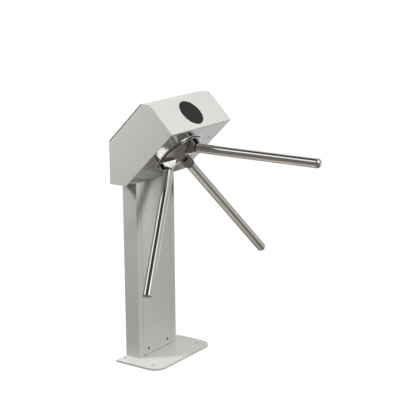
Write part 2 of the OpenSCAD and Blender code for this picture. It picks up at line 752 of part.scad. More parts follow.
// Controller board inside the left end plate
board_place = hub_foot + into_head*board_depth;
module on_left_plate() translate([board_place[0], -head_l/2 + sheet_t, board_place[1]])
    rotate([-90, 0, 0]) children();
module board_standoffs() color(brass) on_left_plate()
    four(board_w - 2*board_margin, board_h - 2*board_margin) {
    cylinder(r = post_r, h = board_lift);
    cylinder(r = post_r/2, h = board_lift + board_t + post_r/2);
}
terminal = [10, 70, 12];
relay = [20, 18, 14];
module controller_board() color([0.1, 0.35, 0.2]) on_left_plate()
    translate([0, 0, board_lift]) {
    linear_extrude(height = board_t) difference() {
        square([board_w, board_h], center = true);
        four(board_w - 2*board_margin, board_h - 2*board_margin) circle(post_r/2 + slip_gap);
    }
    translate([-board_w/2 + terminal[0]/2, -terminal[1]/2, 0]) cube(terminal);
    for (k = [-1, 0, 1]) translate([relay[0]/2, k*(relay[1] + board_margin) - relay[1]/2, 0])
        cube(relay);
}

// Three pairs of bolts between the forks
module place_hub_bolts() for (i = [0:2], e = [-1, 1])
    rotate([0, 0, 60 + i*120 + e*hub_bolt_turn]) translate([hub_bolt_ring, 0, 0]) children();

// Rotor shaft with the flange that carries the hub
module rotor_shaft() color(zinc) at_hub() difference() {
    union() {
        translate([0, 0, hub_back - shaft_flange_t]) cylinder(r = shaft_flange_r,
            h = shaft_flange_t);
        translate([0, 0, -shaft_end]) cylinder(r = shaft_d/2, h = shaft_end + hub_back);
        translate([0, 0, running_gap - housing_front - bearing_set])
            cylinder(r = spacer_r, h = housing_front + bearing_set + hub_back - running_gap);
        translate([0, 0, hub_back - overrun]) cylinder(r = hub_bore_r - slip_gap,
            h = hub_plate_t);
    }
    place_hub_bolts() translate([0, 0, hub_back - shaft_flange_t - overrun])
        cylinder(r = hub_bolt_d/2 + slip_gap, h = shaft_flange_t + 2*overrun);
}

// Hub body: a plate with three forks for the arms
ear_circle = [pin_r, pin_h];
module ear_profile() {
    top = ear_circle + ear_r*[-cos(arm_cone), sin(arm_cone)];
    difference() {
        union() {
            polygon([[ear_wall_r, hub_back + overrun], [ear_wall_r, ear_shoulder_h],
                tangent_point([ear_wall_r, ear_shoulder_h], ear_circle, ear_r), ear_circle, top,
                top - [1, 1]*(top[0] - ear_inner_r), [ear_inner_r, hub_back + overrun]]);
            translate(ear_circle) circle(ear_r);
        }
        translate(ear_circle) circle(pin_d/2 + press_gap);
    }
}
module hub_body() color(zinc) at_hub() difference() {
    union() {
        translate([0, 0, hub_back]) cylinder(r = hub_plate_r, h = hub_plate_t);
        at_each_arm() for (s = [-1, 1]) translate([0, s*(fork_slot + ear_t)/2, 0])
            in_fork_plane() linear_extrude(height = ear_t, center = true) ear_profile();
    }
    translate([0, 0, hub_back - overrun]) cylinder(r = hub_bore_r, h = hub_plate_t
        + 2*overrun);
    place_hub_bolts() translate([0, 0, hub_back - overrun])
        cylinder(r = hub_bolt_d/2 + slip_gap, h = hub_plate_t + 2*overrun);
}
module hub_bolts() color(zinc) at_hub() place_hub_bolts() translate([0, 0, hub_floor])
    socket_bolt();
module socket_bolt() difference() {
    union() {
        cylinder(r = hub_bolt_d*cap_share, h = hub_bolt_d*bolt_head_share);
        translate([0, 0, -hub_plate_t - shaft_flange_t]) cylinder(r = hub_bolt_d/2,
            h = hub_plate_t + shaft_flange_t + overrun);
    }
    translate([0, 0, hub_bolt_d*bolt_head_share/2]) cylinder(r = hub_bolt_d*socket_share/2,
        h = hub_bolt_d, $fn = 6);
}

// Domed cover of the hub, with a window for each fork
dome_centre = dome_h - dome_r;
rim_h = dome_centre + sqrt(dome_r*dome_r - hub_r*hub_r);
module hub_cover() color(polished) at_hub() difference() {
    rotate_extrude() {
        difference() {
            intersection() {
                translate([0, dome_centre]) circle(dome_r, $fn = 360);
                translate([0, rim_h - dome_t]) square([hub_r, dome_h]);
            }
            translate([0, dome_centre]) circle(dome_r - dome_t, $fn = 360);
        }
        translate([hub_r - skirt_t, -skirt_depth]) square([skirt_t, skirt_depth + rim_h]);
    }
    at_each_arm() intersection() {
        translate([window_inner_r, -fork_w/2 - window_gap, rim_h - dome_t - overrun])
            cube([hub_r, fork_w + 2*window_gap, dome_h + dome_t]);
        cylinder(r = hub_r - skirt_t, h = 2*dome_h);
    }
}

// Fold pins of the arms, flush with the ears
module fold_pins() color(polished) at_hub() at_each_arm() translate([pin_r, 0, pin_h])
    rotate([90, 0, 0]) cylinder(r = pin_d/2, h = fork_w, center = true);

// Blocks between the ears, which the arms' tongues are latched against
module latch_blocks() color(dark) at_hub() at_each_arm() {
    top = tongue_h/2;
    front = pin_at - tongue_h/2 - latch_gap;
    in_fork_plane() linear_extrude(height = fork_slot - 2*press_gap, center = true)
        intersection() {
            polygon([off_arm(front, top), off_arm(front - pin_r, top),
                off_arm(front - pin_r, -pin_r), off_arm(front, -pin_r)]);
            translate([0, hub_floor]) square([pin_r, dome_h]);
        }
}

// Lock wheel: six notches, one every 60 degrees
module lock_wheel() color(zinc) at_depth(lock_depth + lock_t) difference() {
    union() {
        cylinder(r = lock_r, h = lock_t);
        translate([0, 0, press_gap - layer_gap]) cylinder(r = boss_r, h = layer_gap + lock_t/2);
        translate([0, 0, lock_t/2]) cylinder(r = spacer_r, h = lock_t/2 + lock_depth - rear_seat
            - bearing_w - running_gap);
    }
    translate([0, 0, -gear_depth]) cylinder(r = shaft_d/2 + press_gap, h = 2*gear_depth);
    for (i = [0:notches - 1]) rotate([0, 0, 30 + i*360/notches])
        translate([lock_r - notch_depth, -notch_w/2, -overrun])
        cube([notch_depth + overrun, notch_w, lock_t + 2*overrun]);
}

// Involute gear outline
function involute(a) = tan(a)*180/PI - a;
function half_tooth(r, z) = let (base = gear_m*z/2*cos(pressure_angle))
    90/z - backlash/(gear_m*z)*90/PI + involute(pressure_angle)
    - (r > base ? involute(acos(base/r)) : 0);
function gear_outline(z) =
    let (pitch = gear_m*z/2, tip = pitch + gear_m, root = pitch - gear_m*root_share,
        low = max(root, pitch*cos(pressure_angle)),
        radii = concat([root], [for (i = [0:flank_steps]) low + (tip - low)*i/flank_steps]))
    [for (k = [0:z - 1]) each concat(
        [for (r = radii) r*[cos(k*360/z - half_tooth(r, z)), sin(k*360/z - half_tooth(r, z))]],
        [for (r = backwards(radii)) r*[cos(k*360/z + half_tooth(r, z)),
            sin(k*360/z + half_tooth(r, z))]])];
module ring_gear() color(zinc) at_depth(gear_depth + gear_t) difference() {
    linear_extrude(height = gear_t) polygon(gear_outline(gear_teeth));
    translate([0, 0, -overrun]) {
        cylinder(r = shaft_d/2 + press_gap, h = gear_t + 2*overrun);
        for (i = [0:5]) rotate([0, 0, i*60]) translate([(gear_r + boss_r)/2, 0, 0])
            cylinder(r = (gear_r - boss_r)/4, h = gear_t + 2*overrun);
    }
}

// Slotted disc that the sensors watch
slot_w = 9;
module sensor_disc() color(dark) at_depth(disc_depth + disc_t) difference() {
    union() {
        cylinder(r = disc_r, h = disc_t);
        cylinder(r = boss_r, h = disc_depth + disc_t - gear_depth - gear_t);
    }
    translate([0, 0, -overrun]) {
        cylinder(r = shaft_d/2 + press_gap, h = disc_depth);
        at_each_arm() translate([disc_r - slot_w, -slot_w/2, 0])
            cube([slot_w + overrun, slot_w, disc_t + 2*overrun]);
    }
}
module shaft_nut() color(zinc) at_depth(disc_depth + disc_t + nut_t) difference() {
    cylinder(r = nut_r, h = nut_t, $fn = 6);
    translate([0, 0, -overrun]) cylinder(r = shaft_d/2 + press_gap, h = nut_t + 2*overrun);
}

// Pinion and crank, which turn three times for each turn of the rotor
module at_crank(d) at_depth(d) translate([pinion_x, 0, 0]) children();
module pinion() color(brass) at_crank(gear_depth + gear_t) difference() {
    rotate([0, 0, 180/pinion_teeth]) linear_extrude(height = gear_t)
        polygon(gear_outline(pinion_teeth));
    translate([0, 0, -overrun]) cylinder(r = pinion_shaft_d/2 + press_gap,
        h = gear_t + 2*overrun);
}
module crank() color(zinc) {
    at_crank(crank_depth + crank_t) {
        cylinder(r = crank_r, h = crank_t);
        cylinder(r = pinion_shaft_d/2, h = crank_depth + crank_t - plate_back - damper_t
            + damper_hold);
        translate([0, -crank_throw, -crank_pin_l]) cylinder(r = crank_pin_d/2,
            h = crank_pin_l + crank_t/2);
    }
}

// Coil of a spring as a revolved row of turns, along +Z
module coil(r, wire, l) rotate_extrude() {
    turns = floor(l/wire);
    for (i = [0:turns - 1]) translate([r, (i + 1/2)*l/turns]) circle(wire/2, $fn = 24);
    translate([r - wire/4, wire/2]) square([wire/2, l - wire]);
}
module loop_end(post_d) rotate_extrude() translate([post_d/2 + face_fit + spring_wire/2, 0])
    circle(spring_wire/2, $fn = 24);
module centring_spring() color(polished) at_depth(spring_depth) translate([pinion_x, 0, 0]) {
    gap_a = crank_pin_d/2 + face_fit + spring_wire;
    gap_b = spring_post_d/2 + face_fit + spring_wire;
    l = -spring_post_y - crank_throw - gap_a - gap_b;
    translate([0, -crank_throw, 0]) loop_end(crank_pin_d);
    translate([0, spring_post_y, 0]) loop_end(spring_post_d);
    translate([0, -crank_throw - gap_a, 0]) rotate([90, 0, 0]) {
        coil(spring_r, spring_wire, l);
        for (z = [0, l]) translate([0, 0, z]) rotate([0, 0, 90]) translate([0, -spring_r, 0])
            rotate([-90, 0, 0]) cylinder(r = spring_wire/2, h = 2*spring_r, $fn = 24);
    }
}

// Pawls, drawn with their teeth lifted clear of the lock wheel
module pawl_profile(side) difference() {
    union() {
        circle(pawl_boss_r);
        translate([-pawl_tail - tail_slot_l, -pawl_arm_w/2])
            square([pawl_tail + tail_slot_l + pawl_l + tooth_w/2, pawl_arm_w]);
        translate([pawl_l - tooth_w/2, side > 0 ? tooth_tip_r - pawl_y : 0])
            square([tooth_w, pawl_y - tooth_tip_r]);
    }
    circle(pawl_pivot_d/2 + running_gap);
    translate([-pawl_tail - (tail_slot_l - tail_slot)/2, -tail_slot/2])
        square([tail_slot_l - tail_slot, tail_slot]);
    for (e = [-1, 1]) translate([-pawl_tail + e*(tail_slot_l - tail_slot)/2, 0])
        circle(tail_slot/2);
}
module pawl(side) color(zinc) at_depth(lock_depth + lock_t)
    translate([-pawl_l, side*pawl_y, 0]) rotate([0, 0, side*pawl_angle])
    linear_extrude(height = lock_t) pawl_profile(side);
module pawl_left() pawl(1);
module pawl_right() pawl(-1);

// Plungers of the solenoids, each with a forked end and a cross pin in the pawl's slot
rest_drop = pawl_tail*sin(pawl_angle);
plunger_l = solenoid_from + solenoid_l/2 + rest_drop;
module plunger(side) color(polished) at_hub()
    translate([plunger_x, side*(pawl_y - rest_drop), -lever_z]) rotate([-90*side, 0, 0]) {
    difference() {
        translate([0, 0, -plunger_r]) cylinder(r = plunger_r, h = plunger_l);
        translate([-plunger_r - overrun, -clevis_w/2, -plunger_r - overrun])
            cube([2*(plunger_r + overrun), clevis_w, plunger_r + overrun + clevis_l]);
    }
    translate([0, 0, clevis_l + tooth_gap]) cylinder(r = seat_r, h = seat_t);
    rotate([90, 0, 0]) cylinder(r = clevis_pin_d/2, h = 2*plunger_r - overrun, center = true);
}
module plunger_left() plunger(1);
module plunger_right() plunger(-1);
seat_y = pawl_y - rest_drop + clevis_l + tooth_gap + seat_t;
module return_spring(side) color(polished) at_hub()
    translate([plunger_x, side*(seat_y + press_gap), -lever_z]) rotate([-90*side, 0, 0])
    coil(plunger_r + return_wire, return_wire, solenoid_y - seat_y - 2*press_gap);
module return_spring_left() return_spring(1);
module return_spring_right() return_spring(-1);

// Arms: tube, tongue with its spigot, end cap and the two screws through the tube
tongue_t = fork_slot - latch_gap;
spigot_l = 50;
collar_t = 3;
arm_start = pin_at + collar_at + collar_t;
arm_screw_d = 5;
arm_screw_first = 15;
arm_screw_step = 20;
spigot_r = arm_d/2 - arm_wall - slip_gap;
module place_arm_screws() for (k = [0, 1]) translate([-arm_d/2, 0,
    arm_start + arm_screw_first + k*arm_screw_step]) rotate([0, -90, 0]) children();
module arm_tube(i) color(polished) at_arm(i) difference() {
    translate([0, 0, arm_start]) tube(arm_d/2, arm_d/2 - arm_wall, arm_end - arm_start);
    place_arm_screws() translate([0, 0, -arm_wall - overrun])
        cylinder(r = arm_screw_d/2 + slip_gap, h = arm_wall + 2*overrun);
}
module arm_tongue(i) color(zinc) at_arm(i) difference() {
    union() {
        translate([0, 0, pin_at]) rotate([90, 0, 0]) cylinder(r = tongue_h/2, h = tongue_t,
            center = true);
        translate([-tongue_h/2, -tongue_t/2, pin_at]) cube([tongue_h, tongue_t,
            collar_at + collar_t/2]);
        translate([0, 0, arm_start - collar_t]) cylinder(r = arm_d/2, h = collar_t);
        translate([0, 0, arm_start - collar_t/2]) cylinder(r = spigot_r, h = spigot_l);
    }
    translate([0, 0, pin_at]) rotate([90, 0, 0]) cylinder(r = pin_d/2 + running_gap,
        h = fork_w, center = true);
    place_arm_screws() translate([0, 0, -arm_d/2]) cylinder(r = arm_screw_d/2 + slip_gap,
        h = arm_d/2 + overrun);
}
cap_spigot = 16;
module arm_cap(i) color(polished) at_arm(i) translate([0, 0, arm_end]) {
    cap_r = (arm_d*arm_d/4 + cap_h*cap_h)/(2*cap_h);
    rotate_extrude() intersection() {
        translate([0, cap_h - cap_r]) circle(cap_r, $fn = 180);
        square([arm_d/2, cap_h]);
    }
    translate([0, 0, -cap_spigot]) cylinder(r = spigot_r, h = cap_spigot + overrun);
}
module arm_screws(i) color(dark) at_arm(i) place_arm_screws() difference() {
    translate([0, 0, -arm_d/2 + overrun]) cylinder(r = arm_screw_d/2, h = arm_d/2 - overrun);
    translate([0, 0, -arm_screw_d/2])
        cylinder(r = arm_screw_d*socket_share/2, h = arm_screw_d, $fn = 6);
}

base_plate();
column();
column_crossbars();
column_top_plate();
column_cover();
panel_screws();
head_bolts();
head_chassis();
end_plate_left();
end_plate_right();
top_cover();
cover_screws();
indicator_lens();
indicator_housing();
indicator_board();
hub_trim_ring();
mechanism_standoffs();
mechanism_plate();
bearing_housing();
mechanism_bolts();
front_bearing();
rear_bearing();
rotary_damper();
mechanism_posts();
solenoid_left();
solenoid_right();
sensor_board();
board_standoffs();
controller_board();
rotor_shaft();
hub_body();
hub_bolts();
hub_cover();
fold_pins();
latch_blocks();
lock_wheel();
ring_gear();
sensor_disc();
shaft_nut();
pinion();
crank();
centring_spring();
pawl_left();
pawl_right();
plunger_left();
plunger_right();
return_spring_left();
return_spring_right();
arm_tube(0);  // arm_tube_1
arm_tube(1);  // arm_tube_2
arm_tube(2);  // arm_tube_3
arm_tongue(0);  // arm_tongue_1
arm_tongue(1);  // arm_tongue_2
arm_tongue(2);  // arm_tongue_3
arm_cap(0);  // arm_cap_1
arm_cap(1);  // arm_cap_2
arm_cap(2);  // arm_cap_3
arm_screws(0);  // arm_screws_1
arm_screws(1);  // arm_screws_2
arm_screws(2);  // arm_screws_3
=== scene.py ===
"""Tripod turnstile: finished pieces on the packed CAD frame, with their materials and stage.

Shapes are written in millimetres and turned into metres where a mesh is made. Places in materials,
in recoloured faces and on the stage are in metres. +Z is up, +X points into the passage and +Y runs
along the head.
"""
import json
import math

import bpy
import numpy as np
from mathutils import Matrix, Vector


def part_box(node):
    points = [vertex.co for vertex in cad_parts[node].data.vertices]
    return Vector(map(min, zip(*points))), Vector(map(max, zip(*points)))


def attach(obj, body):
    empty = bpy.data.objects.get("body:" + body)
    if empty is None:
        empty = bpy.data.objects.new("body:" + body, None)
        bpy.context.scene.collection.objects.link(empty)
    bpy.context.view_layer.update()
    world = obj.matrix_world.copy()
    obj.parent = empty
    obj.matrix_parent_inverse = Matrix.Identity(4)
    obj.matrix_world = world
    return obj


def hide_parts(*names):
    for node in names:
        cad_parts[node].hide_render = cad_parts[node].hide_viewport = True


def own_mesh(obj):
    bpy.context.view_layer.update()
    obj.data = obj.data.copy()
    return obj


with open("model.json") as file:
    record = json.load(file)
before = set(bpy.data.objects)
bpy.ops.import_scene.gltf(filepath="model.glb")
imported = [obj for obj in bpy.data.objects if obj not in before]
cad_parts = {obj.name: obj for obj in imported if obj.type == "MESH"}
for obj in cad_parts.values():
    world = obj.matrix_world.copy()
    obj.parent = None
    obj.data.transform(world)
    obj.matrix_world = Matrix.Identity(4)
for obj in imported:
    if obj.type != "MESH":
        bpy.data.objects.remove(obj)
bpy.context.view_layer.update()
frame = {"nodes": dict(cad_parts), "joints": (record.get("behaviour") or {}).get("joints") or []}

bl_info = {
    "name": "Tripod turnstile",
    "version": (1, 0, 0),
    "blender": (4, 5, 0),
    "location": "View3D > Sidebar > Turnstile",
    "description": "Builds the finished pieces of a tripod turnstile on its CAD frame",
    "category": "Object",
}

MM = 0.001
S = math.sqrt(0.5)

# Names that end in X, Y or Z are places, in R radii, in T thicknesses and in W widths

# Base plate, column and cover; the cover and the column have lips that turn back to LIP_X
PLATE_X, PLATE_Y, PLATE_TOP, PLATE_EASE = 104.0, 186.0, 8.0, 0.8
PLATE_CORNERS = (4.0, 50.0, 50.0, 4.0)
ANCHORS_X, ANCHOR_Y, ANCHOR_R = (-88.5, 51.5), 147.5, 6.0
CABLE_X, CABLE_R = -68.25, 22.0
COLUMN_BACK, COLUMN_FRONT, COLUMN_Y, COLUMN_TOP = -102.5, -34.0, 122.5, 720.0
LIP_X, LIP_Y = -48.0, 93.5
COVER_Y, COVER_LOW, COVER_HIGH = 92.7, 10.0, 719.2

# Sheets: thickness, outer radius of a bend, and the ease and steps of a cut rim
SHEET, BEND, SHEET_RIM = 2.0, 3.0, (0.3, 2)

# Head outline in X and Z, clockwise from the top of the back wall
BACK_HIGH, TOP_BACK, TOP_FRONT = (-104.0, 887.0), (49.0, 1040.0), (89.0, 1040.0)
NOSE, LOW_FRONT, BACK_LOW = (190.0, 939.0), (-29.0, 720.0), (-104.0, 720.0)
OUTLINE = (BACK_HIGH, TOP_BACK, TOP_FRONT, NOSE, LOW_FRONT, BACK_LOW)
# Outer faces of the end plates, ends of the sheets between them, ends of the plates' flanges
HEAD_Y, SHEET_Y, FLANGE_Y = 193.0, 190.4, 177.0
FLANGE_GAP, FLANGE_TRIM = 2.3, 28.0
# Under the nose the cover's lip and the face's sheet meet at a seam and turn into the head
LIP_W, SEAM_W, TURNED_W = 6.0, 0.6, 8.42
LIP_END = (NOSE[0] - LIP_W*S, NOSE[1] - LIP_W*S)
FACE_START = (NOSE[0] - (LIP_W + SEAM_W)*S, NOSE[1] - (LIP_W + SEAM_W)*S)
INTO_HEAD = (-TURNED_W*S, TURNED_W*S)
# On the back, the chassis ends under the cover, whose tabs reach down inside it
CHASSIS_TOP = 884.4
TAB_X, TAB_LOW, TAB_HIGH, TAB_W = -101.7, 869.0, 889.0, 30.0
LENS_R, WINDOW_R, FACE_HOLE_R = 61.0, 55.0, 103.3

# Hub: radii, and heights from the head's slanted face
HUB_R, DOME_R, DOME_TOP, DOME_T, SKIRT_T, SKIRT_LOW = 98.0, 223.0, 27.7, 3.0, 2.7, -6.0
RING_R, RING_STEP_R, RING_OUT, RING_TOP = 100.6, 103.0, 107.6, 1.6
WINDOW_IN, WINDOW_OUT, WINDOW_HALF = 31.4, 95.3, 25.0
HUB_BORE, HUB_PLATE_R, HUB_PLATE_Z = 20.0, 95.0, (-10.0, -2.0)
EAR_WALL, EAR_WALL_TOP, EAR_IN, EAR_FOOT = 91.9, 24.8, 30.4, -9.0
EAR_R, EAR_GAP, EAR_T = 19.0, 11.0, 11.0
FOLD_PIN_R, FOLD_PIN_END = 6.0, 22.0
PIN_R, PIN_Z, PIN_AT = 65.41, 27.81, 92.5

# Arms, measured from the point where their axes meet, which is APEX behind the face
APEX = 37.6
ARM_START, ARM_END, ARM_R, ARM_BORE, ARM_GAP = 117.0, 632.0, 18.0, 16.5, 0.2
NECK_START, NECK_R, COLLAR_LOW, COLLAR_HIGH = 112.0, 14.0, 114.0, 116.3
PLUG_R, PLUG_END, CAP_START, CAP_H = 16.4, 166.0, 616.0, 12.0
TONGUE_R, TONGUE_HALF, TONGUE_END = 15.0, 10.5, 21.9
SCREWS_AT = (132.0, 152.0)

# Flush holes: radius, head's radius, sink and depth. Socket screws: diameter, head's radius, sink,
# reach, and the socket's radius and depth. The back's screws: clear and tight holes
FLUSH_HOLE = (3.1, 6.0, 2.9, 14.0)
FLUSH_SCREW, ARM_SCREW = (6, 5.7, 2.7, 12, 2.25, 2.6), (5, 2.5, 0.6, 16, 1.85, 2.2)
CLEAR_R, TIGHT_R = 3.1, 2.6

# A return spring's wire, and the share of its shortest length that the wire fills
SPRING_WIRE, SPRING_FILL = 1.4, 0.9

OVER = 2.0  # how far a cutter stands above the surface that it cuts
THROUGH = 30.0  # half the length of a bore's cutter
SHARP = 32  # degrees between faces from which an edge stays sharp


def axes(x, y, z, origin=(0, 0, 0)):
    """4x4 matrix with the columns x, y, z and origin."""
    m = np.eye(4)
    m[:3, :] = np.array((x, y, z, origin), float).T
    return m


def turn_z(degrees):
    """Turn about Z by t: x' = x cos t - y sin t, y' = x sin t + y cos t."""
    c, s = math.cos(math.radians(degrees)), math.sin(math.radians(degrees))
    return axes((c, s, 0), (-s, c, 0), (0, 0, 1))


def shift(x, y, z):
    """Move by (x, y, z)."""
    return axes((1, 0, 0), (0, 1, 0), (0, 0, 1), (x, y, z))


UPRIGHT = axes((1, 0, 0), (0, 1, 0), (0, 0, 1))
ALONG_HEAD = axes((1, 0, 0), (0, 0, 1), (0, -1, 0))
HUB = axes((S, 0, S), (0, -1, 0), (S, 0, -S), (80.5, 0, 829.5))
LENS = axes((S, 0, -S), (0, 1, 0), (S, 0, S), (139.5, 0, 989.5))
PASSAGE = axes((0, 1, 0), (0, 0, 1), (1, 0, 0), (COLUMN_FRONT, 0, 0))
BACK = axes((0, -1, 0), (0, 0, 1), (-1, 0, 0), (BACK_HIGH[0], 0, 0))
FORK = axes((1, 0, 0), (0, 0, 1), (0, -1, 0))
TILT = axes((S, 0, -S), (0, 1, 0), (S, 0, S))
OUTWARDS = axes((0, 0, 1), (0, 1, 0), (-1, 0, 0))
NOTCH = axes((0, 1, 0), (S, 0, S), (S, 0, -S))
BACK_SCREWS_Y = (-150, 150)
COVER_SCREWS = [PASSAGE @ shift(y, 34, 0) for y in (-62.5, 62.5)]
FACE_SCREWS = [HUB @ shift(x, y, 0) for x in (-62.5, 57.5) for y in (-140, 140)]
BACK_SCREWS = [BACK @ shift(y, 878, 0) for y in BACK_SCREWS_Y]


def arm_place(i):
    """Arm i's frame: +Z along the arm from the point where the arms' axes meet, -X outwards."""
    return HUB @ turn_z(120*i) @ shift(0, 0, -APEX) @ TILT


def fork_place(i):
    """In the hub, the upright plane through its axis and arm i: X is the radius, Y the height."""
    return turn_z(120*i) @ FORK


# Outlines

def offset(points, d, closed=True):
    """Each point moved to the left of its path by d: p + d (m + n)/(1 + m.n), m and n the normals
    before and after it."""
    p = np.asarray(points, float)
    step = np.roll(p, -1, 0) - p
    if not closed:
        step[-1] = step[-2]
    step /= np.linalg.norm(step, axis=1)[:, None]
    after = np.stack((-step[:, 1], step[:, 0]), 1)
    before = np.roll(after, 1, 0)
    if not closed:
        before[0] = after[0]
    return p + d*(before + after)/(1 + (before*after).sum(1))[:, None]


def rounded(points, radius, closed=True, steps=6):
    """Path with an arc of that radius, or a list of radii, at each corner."""
    p = np.asarray(points, float)
    count = len(p)
    radii = np.broadcast_to(radius, count)
    out = []
    for i in range(count):
        if (not closed and i in (0, count - 1)) or radii[i] <= 0:
            out.append(p[i][None])
            continue
        u = p[i - 1] - p[i]
        v = p[(i + 1) % count] - p[i]
        u, v = u/np.linalg.norm(u), v/np.linalg.norm(v)
        half = math.acos(np.clip(u @ v, -1, 1))/2
        reach = radii[i]/math.tan(half)
        centre = p[i] + (u + v)/np.linalg.norm(u + v)*radii[i]/math.sin(half)
        ray = p[i] + u*reach - centre
        way = math.pi - 2*half
        side = 1 if u[0]*v[1] - u[1]*v[0] < 0 else -1
        t = side*np.linspace(0, way, steps + 1)
        out.append(centre + np.stack((ray[0]*np.cos(t) - ray[1]*np.sin(t),
                                      ray[0]*np.sin(t) + ray[1]*np.cos(t)), 1))
    out = np.concatenate(out)
    return out[np.linalg.norm(out - np.roll(out, 1, 0), axis=1) > 1e-6]


def folded(path, thickness=SHEET, bend=BEND):
    """Section of a folded sheet whose outer surface follows path, with the sheet on its right."""
    outer = rounded(path, bend, False)
    inner = rounded(offset(path, -thickness, False), bend - thickness, False)
    return np.concatenate((outer, inner[::-1]))


def rectangle(x0, x1, y0, y1):
    """Four corners, anticlockwise."""
    return np.array(((x0, y0), (x1, y0), (x1, y1), (x0, y1)), float)


# Solids: each is (vertices, faces), with the faces outwards


def strips(rings, count, wrap=False):
    """Quads between rings of count points that lie one after the other."""
    k = np.arange(rings - 1 + wrap)[:, None]*count
    i = np.arange(count)[None]
    j = (i + 1) % count
    up = (k + count) % (rings*count)
    return np.stack((k + i, k + j, up + j, up + i), -1).reshape(-1, 4).tolist()


def revolve(profile, count=96, wrap=False):
    """Solid of revolution: (r cos t, r sin t, z) for each (r, z) of a profile that keeps the solid
    on its left. A point with r = 0 becomes a pole."""
    p = np.asarray(profile, float)
    poles = p[:, 0] <= 0
    rings = p[~poles]
    t = np.linspace(0, 2*math.pi, count, endpoint=False)
    z = np.broadcast_to(rings[:, 1, None], (len(rings), count))
    verts = np.stack((rings[:, :1]*np.cos(t), rings[:, :1]*np.sin(t), z), -1).reshape(-1, 3)
    faces = strips(len(rings), count, wrap)
    i = np.arange(count)
    j = (i + 1) % count
    for place, first in ((0, 0), (-1, (len(rings) - 1)*count)):
        if poles[place]:
            pole = np.full(count, len(verts))
            pair = (j, i) if place == 0 else (i, j)
            faces += np.stack((first + pair[0], first + pair[1], pole), 1).tolist()
            verts = np.concatenate((verts, ((0, 0, p[place, 1]),)))
    return verts, faces


def slab(loop, low, high, ease=0.4, steps=3, ends=(True, True)):
    """Outline between two heights. Its rims are rounded: at angle t the loop is offset by
    ease (1 - sin t) at a height of ease (1 - cos t) from the end."""
    loop = np.asarray(loop, float)
    x, y = loop.T
    if (x*np.roll(y, -1) - y*np.roll(x, -1)).sum() < 0:
        loop = loop[::-1]
    t = np.linspace(0, math.pi/2, steps + 1)
    turns = [(ease*(1 - math.sin(a)), ease*(1 - math.cos(a))) for a in t]
    rims = [(d, low + h) for d, h in turns] if ends[0] else [(0, low)]
    rims += [(d, high - h) for d, h in turns[::-1]] if ends[1] else [(0, high)]
    rings = [np.column_stack((offset(loop, d), np.full(len(loop), z))) for d, z in rims]
    count = len(loop)
    faces = strips(len(rings), count)
    last = (len(rings) - 1)*count
    faces += [list(range(count - 1, -1, -1)), list(range(last, last + count))]
    return np.concatenate(rings), faces


def rim(r, z, ease, steps=3, top=True):
    """Quarter round from the wall at radius r to the face at height z, or back again below."""
    t = np.linspace(0, math.pi/2, steps + 1)
    side = 1 if top else -1
    arc = [(r - ease*(1 - math.cos(a)), z - side*ease*(1 - math.sin(a))) for a in t]
    return arc if top else arc[::-1]


def rod(r, low, high, ease=0.4):
    """Round bar with rounded rims."""
    return revolve([(0, low), *rim(r, low, ease, top=False), *rim(r, high, ease), (0, high)], 64)


def placed(solid, matrix):
    """Solid moved by a 4x4 matrix."""
    verts, faces = solid
    return verts @ matrix[:3, :3].T + matrix[:3, 3], faces


def joined(solids):
    """Several solids as one list of vertices and faces."""
    verts, faces, start = [], [], 0
    for v, f in solids:
        verts.append(v)
        faces += [[start + i for i in face] for face in f]
        start += len(v)
    return np.concatenate(verts), faces


def hole(r, depth, ease=0.4):
    """Cutter for a round hole with a broken edge, down from height 0."""
    return revolve([(0, -depth), (r, -depth), (r, -ease), (r + ease, 0), (r + ease, OVER),
                    (0, OVER)])


def sunk_hole(r, head_r, sink, depth):
    """Cutter for a countersunk hole, down from height 0."""
    return revolve([(0, -depth), (r, -depth), (r, -sink), (head_r, 0), (head_r + 0.01, OVER),
                    (0, OVER)])


def socket_screw(d, head_r, sink, reach, socket_r, socket_depth):
    """Flush screw with a hexagonal socket and rims broken by ease. The socket's rings are hexagons:
    r(t) = socket_r cos 30 / cos((t mod 60) - 30). Its floor falls to a small flat, like a drill's
    end."""
    count, ease, broken, flat, drill = 48, 0.15, 0.25, 0.02, 0.5
    t = np.linspace(0, 2*math.pi, count, endpoint=False)
    step = math.pi/3
    six = socket_r*math.cos(step/2)/np.cos(np.mod(t, step) - step/2)
    rings = ((d/2, -reach), (d/2, -sink), (head_r - ease, -ease), (head_r - 2*ease, 0))
    radii = [np.full(count, r) for r, _ in rings] + [six + broken, six, six, six*flat]
    heights = [z for _, z in rings] + [0, -broken, -socket_depth, -socket_depth - drill]
    verts = np.concatenate([np.column_stack((r*np.cos(t), r*np.sin(t), np.full(count, z)))
                            for r, z in zip(radii, heights)])
    last = (len(radii) - 1)*count
    faces = strips(len(radii), count)
    faces += [list(range(count - 1, -1, -1)), list(range(last, last + count))]
    return verts, faces


def coil(r, wire, length, turns):
    """Round wire wound up +Z: its centre is (r cos t, r sin t, z), with z rising evenly with t, and
    its circle lies in the plane of the radius and Z."""
    around, steps = 12, 24
    t = np.linspace(0, 2*math.pi*turns, round(turns*steps) + 1)[:, None]
    v = np.linspace(0, 2*math.pi, around, endpoint=False)
    out = r + wire/2*np.cos(v)
    z = wire/2 + (length - wire)*t/t[-1] - wire/2*np.sin(v)
    verts = np.stack((out*np.cos(t), out*np.sin(t), z), -1).reshape(-1, 3)
    last = len(verts) - around
    faces = strips(len(t), around)
    faces += [list(range(around - 1, -1, -1)), list(range(last, last + around))]
    return verts, faces


# Blender objects

def mesh_object(name, solid, matrix=UPRIGHT):
    """Object at the origin whose mesh is the solid, placed and in metres."""
    verts, faces = placed(solid, matrix)
    mesh = bpy.data.meshes.new(name)
    mesh.from_pydata((verts*MM).tolist(), [], faces)
    mesh.validate()
    obj = bpy.data.objects.new(name, mesh)
    bpy.context.scene.collection.objects.link(obj)
    return obj


